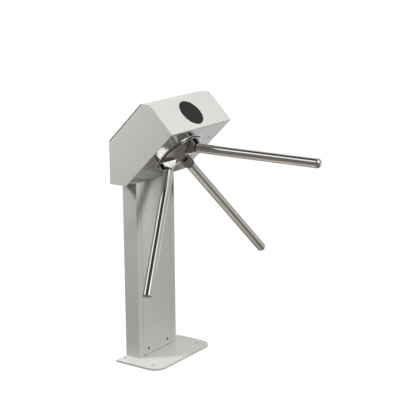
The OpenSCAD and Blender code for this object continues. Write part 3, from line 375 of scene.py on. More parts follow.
def cut(obj, cutters):
    """Takes the cutters, each (solid, matrix), away from obj."""
    tools = [mesh_object(f"{obj.name}_cutter", *c) for c in cutters]
    for tool in tools:
        modifier = obj.modifiers.new("Cut", "BOOLEAN")
        modifier.operation, modifier.solver, modifier.object = "DIFFERENCE", "EXACT", tool
        modifier.use_self = True
    held = bpy.context.evaluated_depsgraph_get()
    mesh = bpy.data.meshes.new_from_object(obj.evaluated_get(held))
    obj.modifiers.clear()
    old, obj.data = obj.data, mesh
    bpy.data.meshes.remove(old)
    mesh.name = obj.name
    for tool in tools:
        bpy.data.meshes.remove(tool.data)


def shade_smooth(obj):
    """Smooth faces, with edges sharper than SHARP degrees kept."""
    mesh = obj.data
    mesh.polygons.foreach_set("use_smooth", np.ones(len(mesh.polygons), bool))
    mesh.set_sharp_from_angle(angle=math.radians(SHARP))
    modifier = obj.modifiers.new("Normals", "WEIGHTED_NORMAL")
    modifier.keep_sharp = True


def recolour(obj, name, chosen):
    """Gives the faces whose centre, in metres, is chosen a second material."""
    mesh = obj.data
    centres = np.empty(3*len(mesh.polygons), np.float32)
    mesh.polygons.foreach_get("center", centres)
    mesh.materials.append(bpy.data.materials[name])
    mesh.polygons.foreach_set("material_index", chosen(centres.reshape(-1, 3)).astype(np.int32))


def hub_place(points):
    """Radius and height, in millimetres, of points in the hub's frame."""
    local = (points/MM - HUB[:3, 3]) @ HUB[:3, :3]
    return np.hypot(local[:, 0], local[:, 1]), local[:, 2]


def seam(y, back=-math.inf):
    """Picks the faces that look along Y at the distance y from the middle, in front of x = back."""
    return lambda p: (abs(abs(p[:, 1]) - y*MM) < 0.2*MM) & (p[:, 0] > back*MM)


def piece(name, solids, body, material, nodes, matrix=UPRIGHT, cutters=()):
    """Finished piece that rides on a body and stands for CAD nodes. Its slot is the material's name
    where none is given."""
    obj = mesh_object(name, joined(solids), matrix)
    if cutters:
        cut(obj, cutters)
    if not len(obj.data.polygons):
        raise RuntimeError(f"{name} has no faces")
    shade_smooth(obj)
    obj.data.materials.clear()
    obj.data.materials.append(bpy.data.materials[material])
    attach(obj, body)
    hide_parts(*nodes)
    return obj


# Materials

# Scale of the soft clouds per metre, roughness of the grain, depth of its bump in metres
CLOUDS, GRAIN_ROUGHNESS, BUMP_DEPTH, COAT_ROUGHNESS = 9.0, 0.6, 0.0002, 0.25
# End plates' painted shade in the gap at their joint: distances of no shade and full shade, in
# metres, and the back wall's share
SLANT_GAP_SHADE, BACK_GAP_SHADE, BACK_GAP_SHADE_SHARE = (0.0052, 0.0028), (0.003, 0.0015), 0.6
GAP_SHADE_COLOUR = (0.03, 0.03, 0.03)
# Painted shade: shares of the paint's and the steel's colour in the darker copies that the column
# and the hub cover have
COLUMN_PAINTED_SHADE, DOME_PAINTED_SHADE = 0.94, 0.72


class Shade:
    """Socket of a node tree. Sums, differences and products of it add Math nodes."""

    def __init__(self, tree, socket):
        self.tree, self.socket = tree, socket

    def maths(self, operation, *others):
        """Math node of that operation on this socket and the others."""
        return build(self.tree, "ShaderNodeMath", {"operation": operation},
                     dict(enumerate((self, *others))))

    def __add__(self, other):
        return self.maths("ADD", other)

    def __mul__(self, other):
        return self.maths("MULTIPLY", other)

    __radd__, __rmul__ = __add__, __mul__

    def __sub__(self, other):
        return self.maths("SUBTRACT", other)

    def __rsub__(self, other):
        return self*-1.0 + other

    def between(self, low, high, to_low=0.0, to_high=1.0):
        """Smooth step from to_low at low to to_high at high."""
        return build(self.tree, "ShaderNodeMapRange", {"interpolation_type": "SMOOTHSTEP"},
                     {"Value": self, "From Min": low, "From Max": high, "To Min": to_low,
                      "To Max": to_high})

    def parts(self):
        """X, Y and Z of a vector."""
        x = build(self.tree, "ShaderNodeSeparateXYZ", None, {0: self})
        return [Shade(self.tree, socket) for socket in x.socket.node.outputs]


def build(tree, kind, settings=None, inputs=None, output=0):
    """New node with its settings and inputs, given as sockets or values; returns one output."""
    node = tree.nodes.new(kind)
    for key, value in (settings or {}).items():
        setattr(node, key, value)
    for key, value in (inputs or {}).items():
        if isinstance(value, Shade):
            tree.links.new(value.socket, node.inputs[key])
        else:
            node.inputs[key].default_value = value
    return Shade(tree, node.outputs[output]) if len(node.outputs) else None


def empty_tree(owner):
    """Node tree of a material or world, without its first nodes."""
    owner.use_nodes = True
    owner.node_tree.nodes.clear()
    return owner.node_tree


def place_of(tree, output="Object"):
    """Coordinates that the nodes read."""
    return build(tree, "ShaderNodeTexCoord", output=output)


def dot(vector, axis):
    """Length of a vector along a unit axis."""
    return build(vector.tree, "ShaderNodeVectorMath", {"operation": "DOT_PRODUCT"},
                 {0: vector, 1: tuple(axis)}, "Value")


def stretched(place, axis, share):
    """Coordinates squeezed along axis: P - share (P.axis) axis."""
    if share == 0:
        return place
    part = build(place.tree, "ShaderNodeVectorMath", {"operation": "SCALE"},
                 {0: axis, "Scale": dot(place, axis)*share})
    return build(place.tree, "ShaderNodeVectorMath", {"operation": "SUBTRACT"}, {0: place, 1: part})


def noise(place, scale, roughness=0.5):
    """Noise of that scale in three octaves, from 0 to 1."""
    return build(place.tree, "ShaderNodeTexNoise", None,
                 {"Vector": place, "Scale": scale, "Detail": 3.0, "Roughness": roughness})


def mixed(factor, a, b):
    """Colour a where factor is 0 and b where it is 1. A Mix node's colours are its sockets 6 and 7,
    and output 2."""
    return build(factor.tree, "ShaderNodeMix", {"data_type": "RGBA"}, {0: factor, 6: a, 7: b}, 2)


def opaque(colour, factor=1.0):
    """Colour times a factor, up to white, with a full alpha."""
    return tuple(min(1.0, c*factor) for c in colour) + (1.0,)


def material(name, colour, metallic, roughness, spread, worn, grain, bump, axis=(0, 1, 0),
             stretch=0.0, coat=0.0, shine=0.5):
    """Principled material in place of the frame's plain one of that name. Its colour varies by
    spread in soft clouds. Its roughness varies by worn in a grain that is stretched along axis by
    the share stretch, and the same grain gives the bump."""
    plain = bpy.data.materials.get(name)
    if plain:
        plain.name = f"{name}_plain"
    mat = bpy.data.materials.new(name)
    tree = empty_tree(mat)
    place = place_of(tree)
    cloud = noise(place, CLOUDS)
    fine = noise(stretched(place, axis, stretch), grain, GRAIN_ROUGHNESS)
    inputs = {"Base Color": mixed(cloud, opaque(colour, 1 - spread), opaque(colour, 1 + spread)),
              "Metallic": metallic,
              "Roughness": (fine - 0.5)*(2*worn) + (cloud - 0.5)*worn + roughness,
              "Normal": build(tree, "ShaderNodeBump", None,
                              {"Strength": bump, "Distance": BUMP_DEPTH, "Height": fine}),
              "Coat Weight": coat, "Coat Roughness": COAT_ROUGHNESS, "Specular IOR Level": shine}
    shader = build(tree, "ShaderNodeBsdfPrincipled", None, inputs)
    build(tree, "ShaderNodeOutputMaterial", None, {"Surface": shader})
    return shader


def powder_coat(name, colour, finish):
    """Painted sheet, with the fine grain of powder coat."""
    return material(name, colour, 0.0, finish.paint_roughness, 0.02, 0.03, 900.0, 0.12, coat=0.1)


def gap_shaded(shader):
    """Dark joint along the end plate's back slant and back wall. Their distances are
    (x - z - a + b) sin 45 and x - a, where (a, b) is the corner between them."""
    socket = shader.socket.node.inputs["Base Color"]
    old = Shade(shader.tree, socket.links[0].from_socket)
    x, _, z = place_of(shader.tree).parts()
    corner_x, corner_z = BACK_HIGH[0]*MM, BACK_HIGH[1]*MM
    slant = ((x - z)*S + (corner_z - corner_x)*S).between(*SLANT_GAP_SHADE)
    back = (x - corner_x).between(*BACK_GAP_SHADE)*BACK_GAP_SHADE_SHARE
    shade = mixed(slant.maths("MAXIMUM", back), old, opaque(GAP_SHADE_COLOUR))
    shader.tree.links.new(shade.socket, socket)


# Colour, metallic, roughness, spread, worn, grain per metre and bump
FINISHES = {
    "satin_steel": ((0.5, 0.5, 0.49), 1.0, 0.2, 0.03, 0.05, 500.0, 0.03),
    "zinc_steel": ((0.66, 0.67, 0.68), 1.0, 0.34, 0.06, 0.05, 400.0, 0.03),
    "dark_steel": ((0.16, 0.16, 0.165), 1.0, 0.4, 0.06, 0.05, 400.0, 0.05),
    "cast_alloy": ((0.62, 0.63, 0.64), 1.0, 0.42, 0.05, 0.06, 350.0, 0.15),
    "black_plastic": ((0.03, 0.03, 0.033), 0.0, 0.5, 0.08, 0.05, 600.0, 0.1),
    "brass_part": ((0.72, 0.55, 0.27), 1.0, 0.3, 0.05, 0.05, 300.0, 0.02),
    "spring_steel": ((0.5, 0.5, 0.5), 1.0, 0.3, 0.04, 0.05, 300.0, 0.02),
}


def make_materials(finish):
    """All materials of the turnstile; those of the record's slots have the slots' names."""
    paint, steel = tuple(finish.paint_colour), tuple(finish.steel_colour)
    rough = finish.steel_roughness
    powder_coat("grey_paint", paint, finish)
    # Painted shade: the column and its cover take a darker copy of the same paint
    powder_coat("column_paint", tuple(COLUMN_PAINTED_SHADE*c for c in paint), finish)
    # Painted shade in the gap along the end plates' back slant and back wall
    gap_shaded(powder_coat("end_paint", paint, finish))
    material("face_paint", tuple(finish.face_colour), 0.85, finish.face_roughness, 0.02, 0.02,
             420.0, 0.01)
    material("polished_steel", steel, 1.0, rough, 0.02, 0.02, 260.0, 0.01)
    # Painted shade: the hub cover takes a darker copy of the same polished steel
    material("dome_steel", tuple(DOME_PAINTED_SHADE*c for c in steel), 1.0, rough + 0.05, 0.04, 0.04,
             260.0, 0.02)
    for i in range(3):
        material(f"polished_tube_{i + 1}", steel, 1.0, rough, 0.02, 0.02, 300.0, 0.01,
                 tuple(arm_place(i)[:3, 2]), 0.97)
    material("smoked_window", (0.016, 0.016, 0.0163), 0.0, 0.5, 0.05, 0.03, 500.0, 0.02, shine=0.3)
    material("circuit_board", (0.03, 0.16, 0.08), 0.0, 0.35, 0.15, 0.05, 300.0, 0.05, coat=0.3)
    for name, values in FINISHES.items():
        material(name, *values)


# Groups of pieces

def base_and_column():
    """Base plate, column and cover."""
    loop = rounded(rectangle(-PLATE_X, PLATE_X, -PLATE_Y, PLATE_Y), PLATE_CORNERS, steps=16)
    holes = [(hole(ANCHOR_R, 12, PLATE_EASE), shift(x, y, PLATE_TOP)) for x in ANCHORS_X
             for y in (-ANCHOR_Y, ANCHOR_Y)]
    holes.append((hole(CABLE_R, 12, PLATE_EASE), shift(CABLE_X, 0, PLATE_TOP)))
    piece("base_plate_finish", [slab(loop, 0, PLATE_TOP, PLATE_EASE, 4)], "stand", "grey_paint",
          ["base_plate"], cutters=holes)
    section = folded([(LIP_X, -LIP_Y), (COLUMN_FRONT, -LIP_Y), (COLUMN_FRONT, -COLUMN_Y),
                      (COLUMN_BACK, -COLUMN_Y), (COLUMN_BACK, COLUMN_Y), (COLUMN_FRONT, COLUMN_Y),
                      (COLUMN_FRONT, LIP_Y), (LIP_X, LIP_Y)])
    obj = piece("column_finish", [slab(section, PLATE_TOP, COLUMN_TOP, *SHEET_RIM)], "stand",
                "column_paint", ["column"])
    # Painted shade: the lips' edge faces beside the seam to the cover take black plastic, standing
    # in for the shade in the seam's gap
    recolour(obj, "black_plastic", seam(LIP_Y, LIP_X))
    section = folded([(LIP_X, COVER_Y), (COLUMN_FRONT, COVER_Y), (COLUMN_FRONT, -COVER_Y),
                      (LIP_X, -COVER_Y)])
    obj = piece("column_cover_finish", [slab(section, COVER_LOW, COVER_HIGH, *SHEET_RIM)], "stand",
                "column_paint", ["column_cover"],
                cutters=[(sunk_hole(*FLUSH_HOLE), place) for place in COVER_SCREWS])
    # Painted shade: the cover's sides beside the seam to the column's lips take black plastic,
    # standing in for the shade in that gap
    recolour(obj, "black_plastic", seam(COVER_Y))


def flanges(low, high):
    """Six flanges of an end plate between two heights, one inside each side of the outline: the
    side from a to b with u along it and n into the head."""
    solids = []
    corners = np.array(OUTLINE)
    for a, b in zip(corners, np.roll(corners, -1, 0)):
        length = np.linalg.norm(b - a)
        u = (b - a)/length
        n = np.array((u[1], -u[0]))
        trim = min(FLANGE_TRIM, length/3)
        near, far = n*FLANGE_GAP, n*(FLANGE_GAP + SHEET)
        strip = [a + u*trim + near, b - u*trim + near, b - u*trim + far, a + u*trim + far]
        solids.append(slab(strip, low, high, 0.3))
    return solids


def head():
    """Chassis with the slanted face, top cover with its tabs and notches, and end plates."""
    start, end = np.array(FACE_START), np.array(LIP_END)
    section = folded([start + INTO_HEAD, start, LOW_FRONT, BACK_LOW, (BACK_LOW[0], CHASSIS_TOP)])
    holes = [(hole(FACE_HOLE_R, 5, 0.3), HUB)]
    holes += [(sunk_hole(*FLUSH_HOLE), place) for place in FACE_SCREWS]
    holes += [(hole(CLEAR_R, 6, 0.3), place) for place in BACK_SCREWS]
    piece("head_chassis_finish", [slab(section, -SHEET_Y, SHEET_Y, *SHEET_RIM)], "stand",
          "face_paint", ["head_chassis"], ALONG_HEAD, holes)
    section = folded([BACK_HIGH, TOP_BACK, TOP_FRONT, NOSE, end, end + INTO_HEAD])
    cover = placed(slab(section, -SHEET_Y, SHEET_Y, *SHEET_RIM), ALONG_HEAD)
    tabs = [slab(rectangle(TAB_X, TAB_X + SHEET, y - TAB_W/2, y + TAB_W/2), TAB_LOW, TAB_HIGH, 0.3)
            for y in BACK_SCREWS_Y]
    holes = [(hole(WINDOW_R + 0.3, 5, 0.4), LENS)]
    holes += [(hole(TIGHT_R, 6, 0.3), place) for place in BACK_SCREWS]
    holes += [(rod(1.6, -8, 8), shift(NOSE[0], y, NOSE[1]) @ NOTCH @ shift(0, -3, 0))
              for y in (-SHEET_Y, SHEET_Y)]
    piece("top_cover_finish", [cover, *tabs], "stand", "grey_paint", ["top_cover"], cutters=holes)
    inside = HEAD_Y - SHEET
    for name, side in (("left", 1), ("right", -1)):
        low, high = sorted((side*inside, side*HEAD_Y))
        plate = slab(rounded(OUTLINE, BEND), low, high, 0.9, 4, (side < 0, side > 0))
        edges = flanges(*sorted((side*FLANGE_Y, side*inside)))
        piece(f"end_plate_{name}_finish", [plate, *edges], "stand", "end_paint",
              [f"end_plate_{name}"], ALONG_HEAD)


def indicator():
    """Round smoked window with a broken edge, and its flange behind the sheet."""
    profile = [(0, -4), *rim(LENS_R, -4, 0.3, top=False), *rim(LENS_R, -2, 0.3), (WINDOW_R, -2),
               *rim(WINDOW_R, 0, 0.5), (0, 0)]
    piece("indicator_window", [revolve(profile, 160)], "stand", "smoked_window", ["indicator_lens"],
          LENS)


def ear_loop():
    """Outline of a fork's ear: upright wall, a straight line that touches the round end about the
    pin, the round end, and a back at 45 degrees down to the foot."""
    pin, wall = np.array((PIN_R, PIN_Z)), np.array((EAR_WALL, EAR_WALL_TOP))
    away = pin - wall
    length = np.linalg.norm(away)
    c, s = math.sqrt(1 - (EAR_R/length)**2), EAR_R/length
    u = away/length
    touch = wall + length*c*np.array((u[0]*c + u[1]*s, u[1]*c - u[0]*s))
    t = np.linspace(math.atan2(*(touch - pin)[::-1]), math.radians(135), 28)
    arc = pin + EAR_R*np.stack((np.cos(t), np.sin(t)), 1)
    foot = arc[-1] - (arc[-1, 0] - EAR_IN)
    lower = rounded([(EAR_IN, EAR_FOOT), (EAR_WALL, EAR_FOOT), wall, touch], (0, 0, 3, 0), False)
    return np.concatenate((lower[:-1], arc, [foot]))


def dome(r, edge_r, count, centre):
    """Points of a dome's section from its top to the radius edge_r: (r sin t, centre + r cos t)."""
    t = np.linspace(0, math.asin(edge_r/r), count)
    return np.stack((r*np.sin(t), centre + r*np.cos(t)), 1)


def hub():
    """Trim ring, domed cover with windows, hub plate with forks, and fold pins."""
    ring = [(RING_R, SKIRT_LOW), (RING_STEP_R, SKIRT_LOW), (RING_STEP_R, 0), (RING_OUT, 0),
            *rim(RING_OUT, RING_TOP, 0.7), (RING_R + 0.6, RING_TOP), (RING_R, RING_TOP - 0.6)]
    obj = piece("hub_trim_finish", [revolve(ring, 192, True)], "stand", "polished_steel",
                ["hub_trim_ring"], HUB)
    # Painted shade: the ring's bore wall beside the gap to the hub takes black plastic, standing in
    # for the shade in that gap
    recolour(obj, "black_plastic", lambda p: (hub_place(p)[0] < 101) & (hub_place(p)[1] < 0.9))
    centre, inner_r = DOME_TOP - DOME_R, HUB_R - SKIRT_T
    outer = dome(DOME_R, HUB_R - 1.2, 40, centre)[::-1]
    inner = dome(DOME_R - DOME_T, inner_r, 24, centre)
    skirt_top = outer[0, 1]
    skirt = [(inner_r, SKIRT_LOW), (HUB_R - 0.3, SKIRT_LOW), (HUB_R, SKIRT_LOW + 0.3),
             (HUB_R, skirt_top - 1.3), (HUB_R - 0.35, skirt_top - 0.45)]
    t = math.asin(WINDOW_HALF/WINDOW_OUT)*np.linspace(-1, 1, 17)
    arc = WINDOW_OUT*np.stack((np.cos(t), np.sin(t)), 1)
    window = slab(rounded([(WINDOW_IN, WINDOW_HALF), (WINDOW_IN, -WINDOW_HALF), *arc],
                          (3, 3, *[0]*17)), 0, 40, 0.01, 1)
    obj = piece("hub_cover_finish", [revolve(np.concatenate((inner, skirt, outer)), 192)], "rotor",
                "dome_steel", ["hub_cover"], HUB,
                [(window, HUB @ turn_z(120*i)) for i in range(3)])
    # Painted shade: the skirt's outer wall below the face takes black plastic, standing in for the
    # shade in the gap to the trim ring
    recolour(obj, "black_plastic", lambda p: (hub_place(p)[0] > 97.5) & (hub_place(p)[1] < 0))
    low, high = HUB_PLATE_Z
    plate = revolve([(HUB_BORE, low), *rim(HUB_PLATE_R, low, 0.5, top=False),
                     *rim(HUB_PLATE_R, high, 0.5), (HUB_BORE, high)], 128, True)
    ears = [placed(slab(ear_loop(), z, z + EAR_T, 1.0, 4), fork_place(i)) for i in range(3)
            for z in (EAR_GAP, -EAR_GAP - EAR_T)]
    pins = [fork_place(i) @ shift(PIN_R, PIN_Z, 0) for i in range(3)]
    bores = [(rod(FOLD_PIN_R + 0.02, -THROUGH, THROUGH, 0.01), HUB @ pin) for pin in pins]
    piece("hub_forks", [plate, *ears], "rotor", "satin_steel", ["hub_body"], HUB, bores)
    solids = [placed(rod(FOLD_PIN_R, -FOLD_PIN_END, FOLD_PIN_END, 0.6), pin) for pin in pins]
    piece("hub_fold_pins", solids, "rotor", "satin_steel", ["fold_pins"], HUB)


def arms():
    """Tongues, tubes and end caps of the three arms. A cap's dome of height h has the radius
    (r^2 + h^2)/2h."""
    t = np.linspace(math.pi, 2*math.pi, 33)
    tongue = np.concatenate((TONGUE_R*np.stack((np.cos(t), np.sin(t)), 1),
                             [(TONGUE_R, TONGUE_END), (-TONGUE_R, TONGUE_END)]))
    blade = placed(slab(tongue, -TONGUE_HALF, TONGUE_HALF, 1.0, 4), shift(0, 0, PIN_AT) @ FORK)
    neck = revolve([(0, NECK_START), (NECK_R, NECK_START), (NECK_R, COLLAR_LOW),
                    *rim(ARM_R, COLLAR_LOW, 0.7, top=False), *rim(ARM_R, COLLAR_HIGH, 0.7),
                    (PLUG_R, COLLAR_HIGH), (PLUG_R, PLUG_END), (0, PLUG_END)])
    low, high = ARM_START + ARM_GAP, ARM_END - ARM_GAP
    wall = [(ARM_BORE, low), *rim(ARM_R, low, 0.6, top=False), *rim(ARM_R, high, 0.5),
            (ARM_BORE, high)]
    crown = (ARM_R**2 + CAP_H**2)/(2*CAP_H)
    end = [(0, CAP_START), (PLUG_R, CAP_START), (PLUG_R, ARM_END), (ARM_R - 0.5, ARM_END + 0.05),
           (ARM_R - 0.08, ARM_END + 0.35),
           *dome(crown, ARM_R - 0.5, 20, ARM_END + CAP_H - crown)[::-1]]
    for i in range(3):
        place, number, body = arm_place(i), i + 1, f"arm_{i + 1}"
        bore = (rod(FOLD_PIN_R + 0.05, -THROUGH, THROUGH, 0.01), place @ shift(0, 0, PIN_AT) @ FORK)
        piece(f"arm_tongue_{number}_finish", [blade, neck], body, "satin_steel",
              [f"arm_tongue_{number}"], place, [bore])
        holes = [(hole(TIGHT_R, 4, 0.2), place @ shift(-ARM_R, 0, z) @ OUTWARDS @ turn_z(4))
                 for z in SCREWS_AT]
        piece(f"arm_tube_{number}_finish", [revolve(wall, 96, True)], body,
              f"polished_tube_{number}", [f"arm_tube_{number}"], place, holes)
        piece(f"arm_cap_{number}_finish", [revolve(end)], body, "polished_steel",
              [f"arm_cap_{number}"], place)


def screws():
    """Flush screws of the column's cover and the slanted face, the arms' screws, and the button
    heads on the back."""
    flush = socket_screw(*FLUSH_SCREW)
    piece("flush_screws", [placed(flush, place) for place in (*COVER_SCREWS, *FACE_SCREWS)],
          "stand", "dark_steel", ["panel_screws"])
    small = socket_screw(*ARM_SCREW)
    for i in range(3):
        solids = [placed(small, shift(-ARM_R + 0.2, 0, z) @ OUTWARDS) for z in SCREWS_AT]
        piece(f"arm_screws_{i + 1}_finish", solids, f"arm_{i + 1}", "dark_steel",
              [f"arm_screws_{i + 1}"], arm_place(i))
    button = revolve([(0, -11), (2.5, -11), (2.5, 0), (5, 0), *rim(5, 2.5, 1.4, 5), (1.6, 2.5),
                      (1.5, 1.0), (0, 1.0)], 48)
    piece("back_screws", [placed(button, place) for place in BACK_SCREWS], "stand", "zinc_steel",
          ["cover_screws"])


def return_springs():
    """Springs between the plungers and the solenoids. Each shortens towards its solenoid by its
    plunger's travel."""
    travel = {j["name"]: j["range_m"][1]/MM for j in frame["joints"] if j["type"] == "slide"}
    for side, hand in ((-1, "left"), (1, "right")):
        node, joint = f"return_spring_{hand}", f"{hand}_plunger_slide"
        low, high = (np.array(corner)/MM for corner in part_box(node))
        x, y, z = (low + high)/2
        width, length, _ = high - low
        turns = SPRING_FILL*(length - travel[joint])/SPRING_WIRE
        start = axes((1, 0, 0), (0, 0, -side), (0, side, 0), (x, y - side*length/2, z))
        spring = piece(f"{node}_finish",
                       [coil((width - SPRING_WIRE)/2, SPRING_WIRE, length, turns)], "stand",
                       "spring_steel", [node], start)
        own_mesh(spring)


# Material of each CAD node, also of those that a finished piece stands for
INNER = {
    "zinc_steel": ("column_crossbars", "column_top_plate", "panel_screws", "head_bolts",
                   "cover_screws", "mechanism_standoffs", "mechanism_plate", "mechanism_bolts",
                   "mechanism_posts", "rotor_shaft", "hub_bolts", "lock_wheel", "ring_gear",
                   "shaft_nut", "crank", "pawl_left", "pawl_right", "arm_screws_1",
                   "arm_screws_2", "arm_screws_3"),
    "grey_paint": ("base_plate", "column", "column_cover", "head_chassis", "end_plate_left",
                   "end_plate_right", "top_cover"),
    "smoked_window": ("indicator_lens",),
    "black_plastic": ("indicator_housing", "rotary_damper", "latch_blocks", "solenoid_left",
                      "solenoid_right", "sensor_disc"),
    "circuit_board": ("indicator_board", "sensor_board", "controller_board"),
    "polished_steel": ("hub_trim_ring", "front_bearing", "rear_bearing", "hub_cover", "fold_pins",
                       "plunger_left", "plunger_right", "arm_tube_1", "arm_tube_2", "arm_tube_3",
                       "arm_cap_1", "arm_cap_2", "arm_cap_3"),
    "cast_alloy": ("bearing_housing",),
    "brass_part": ("board_standoffs", "pinion"),
    "spring_steel": ("centring_spring", "return_spring_left", "return_spring_right"),
    "satin_steel": ("hub_body", "arm_tongue_1", "arm_tongue_2", "arm_tongue_3"),
}


def inner_finishes():
    """A material on every CAD node."""
    left = set(frame["nodes"])
    for name, nodes in INNER.items():
        for node in nodes:
            data = frame["nodes"][node].data
            data.materials.clear()
            data.materials.append(bpy.data.materials[name])
            left.discard(node)
    if left:
        raise RuntimeError(f"nodes without a material: {sorted(left)}")


# Stage, in metres

# World light that grows upwards on matt surfaces: heights of a direction, and strengths there
FILL_HEIGHTS, FILL_TOP = (-0.05, 0.9), 1.4
EVEN_COLOUR, GLOSSY_COLOUR = (1, 1, 0.985), (1, 0.995, 0.98)
# What only reflections see. Soft lights: direction, angles of full and no light, strength
LOBES = (((0.73, 0.2, 0.65), 8, 31, 0.36), ((-0.6, 0.7, 0.45), 10, 24, 0.5),
         ((0.85, -0.09, 0.52), 9, 18, 2.6))
# Long lights: direction, arm that they run along, angles of full and no light
LEFT_STRIPE = ((-0.52, -0.56, 0.64), 0, 10, 15)
RIGHT_STRIPE = ((0.62, -0.01, 0.78), 1, 3, 11)
RIGHT_LOBE, RIGHT_STRENGTH = ((0.60, -0.01, 0.80), 18, 40), 0.85
FAR_LIGHT, HIGH_LIGHT, HALL = 0.28, -0.1, 0.15
# Floor: half its side, a hair below the base plate, and the colours that reflections see
FLOOR_HALF, FLOOR_Z, FLOOR_MATT, FLOOR_WHITE = 30.0, -0.0002, 0.15, 0.97
TAN, DARK, PALE = (0.52, 0.47, 0.41), (0.19, 0.175, 0.155), (0.72, 0.72, 0.71)
TAN_CENTRE, TAN_AREA, PALE_FROM = (0.1, -0.35), (0.72, 0.12), (1.12, 1.3)
# Camera: azimuth, elevation and roll in degrees, its place, and its shift
CAMERA_TURN, CAMERA_PLACE = (34.92, 13.79, -0.45), (2.7092, -3.6327, 1.7342)
CAMERA_SHIFT, SENSOR, FAR_CLIP = (0.00163, 0.00535), 36.0, 200.0


def lobe(direction, axis, inner, outer):
    """1 within the angle inner of axis, 0 beyond outer, both in degrees."""
    along = dot(direction, np.array(axis)/np.linalg.norm(axis))
    return along.between(math.cos(math.radians(outer)), math.cos(math.radians(inner)))


def stripe(direction, toward, arm, inner, outer):
    """1 in a band of the sky through the direction toward that runs along an arm, so the arm's tube
    shows it as a straight line: with n = toward x arm, |d.n| goes from sin outer to sin inner."""
    normal = np.cross(toward, arm_place(arm)[:3, 2])
    across = dot(direction, normal/np.linalg.norm(normal)).maths("ABSOLUTE")
    return across.between(math.sin(math.radians(outer)), math.sin(math.radians(inner)))


def by_ray(tree, kind, others, chosen):
    """Shader chosen for rays of that kind, and others for the rest."""
    ray = build(tree, "ShaderNodeLightPath", output=f"Is {kind} Ray")
    return build(tree, "ShaderNodeMixShader", None, {0: ray, 1: others, 2: chosen})


def world_light(settings):
    """World that is white to the camera. Reflections see a dark hall with two long lights along
    arms, soft lights and a pale far side; matt surfaces see a light that grows upwards."""
    world = bpy.data.worlds.new("Studio")
    bpy.context.scene.world = world
    tree = empty_tree(world)

    def background(colour, strength):
        return build(tree, "ShaderNodeBackground", None,
                     {"Color": opaque(colour), "Strength": strength})

    direction = place_of(tree, "Generated")
    x, y, z = direction.parts()
    value = (stripe(direction, *LEFT_STRIPE)*x.between(-0.36, -0.46)*x.between(-0.95, -0.72)
             + stripe(direction, *RIGHT_STRIPE)*lobe(direction, *RIGHT_LOBE)*RIGHT_STRENGTH)
    for *shape, strength in LOBES:
        value = value + strength*lobe(direction, *shape)
    value = value + FAR_LIGHT*y.between(0.15, 0.7) + HIGH_LIGHT*z.between(0.45, 0.9) + HALL
    even = background(EVEN_COLOUR, settings.fill*z.between(*FILL_HEIGHTS, 0.0, FILL_TOP))
    seen = by_ray(tree, "Glossy", even, background(GLOSSY_COLOUR, value))
    shader = by_ray(tree, "Camera", seen, background((1, 1, 1), 1.0))
    build(tree, "ShaderNodeOutputWorld", None, {"Surface": shader})


def floor():
    """White floor with the shadows that fall on it. Reflections see it tan in front of the object,
    dark further out and pale far behind it."""
    mesh = bpy.data.meshes.new("floor")
    corners = rectangle(-FLOOR_HALF, FLOOR_HALF, -FLOOR_HALF, FLOOR_HALF)
    mesh.from_pydata([(x, y, FLOOR_Z) for x, y in corners], [], [(0, 1, 2, 3)])
    obj = bpy.data.objects.new("floor", mesh)
    bpy.context.scene.collection.objects.link(obj)
    mat = bpy.data.materials.new("floor_white")
    tree = empty_tree(mat)
    x, y, _ = place_of(tree).parts()
    side, front = x - TAN_CENTRE[0], y - TAN_CENTRE[1]
    near = (side*side + front*front).between(*TAN_AREA)
    seen = mixed(y.between(*PALE_FROM), mixed(near, opaque(DARK), opaque(TAN)), opaque(PALE))
    glow = build(tree, "ShaderNodeEmission", None, {"Color": seen, "Strength": 1.0})
    matt = build(tree, "ShaderNodeBsdfDiffuse", None, {"Color": opaque((FLOOR_MATT,)*3)})
    lit = build(tree, "ShaderNodeEmission", None,
                {"Color": opaque((1, 1, 1)), "Strength": FLOOR_WHITE})
    bright = build(tree, "ShaderNodeAddShader", None, {0: matt, 1: lit})
    shader = by_ray(tree, "Glossy", by_ray(tree, "Camera", matt, bright), glow)
    build(tree, "ShaderNodeOutputMaterial", None, {"Surface": shader})
    obj.data.materials.append(mat)


def softbox(name, place, aim, size, watts):
    """Square area light at a place that faces aim. Reflections don't see it."""
    data = bpy.data.lights.new(name, "AREA")
    data.shape, data.size, data.energy = "SQUARE", size, watts
    obj = bpy.data.objects.new(name, data)
    bpy.context.scene.collection.objects.link(obj)
    back = np.array(place, float) - np.array(aim, float)
    back /= np.linalg.norm(back)
    side = np.cross((0, 0, 1), back)
    side /= np.linalg.norm(side)
    obj.matrix_world = Matrix(axes(side, np.cross(back, side), back, place).tolist())
    obj.visible_glossy = False


def camera(settings):
    """Camera fitted to the photo. Azimuth a and elevation e turn its back to
    (sin a cos e, -cos a cos e, sin e), and the roll turns it about that."""
    az, el, roll = (math.radians(v) for v in CAMERA_TURN)
    right = np.array((math.cos(az), math.sin(az), 0))
    back = np.array((math.sin(az)*math.cos(el), -math.cos(az)*math.cos(el), math.sin(el)))
    up = np.cross(back, right)
    c, s = math.cos(roll), math.sin(roll)
    data = bpy.data.cameras.new("photo_camera")
    data.sensor_width, data.sensor_fit, data.lens = SENSOR, "HORIZONTAL", settings.lens
    data.shift_x, data.shift_y = CAMERA_SHIFT
    data.clip_end = FAR_CLIP
    obj = bpy.data.objects.new("photo_camera", data)
    bpy.context.scene.collection.objects.link(obj)
    obj.matrix_world = Matrix(axes(c*right + s*up, -s*right + c*up, back, CAMERA_PLACE).tolist())
    bpy.context.scene.camera = obj


def stage(settings):
    """Floor, world, lights, view and camera."""
    floor()
    world_light(settings)
    softbox("passage_light", (2.55, -0.36, 2.4), (0, 0, 0.7), 0.9, settings.key)
    softbox("left_light", (-1.2, -1.2, 1.8), (0, 0, 0.8), 0.45, settings.side)
    bpy.context.scene.view_settings.view_transform = "Standard"
    camera(settings)


# Add-on

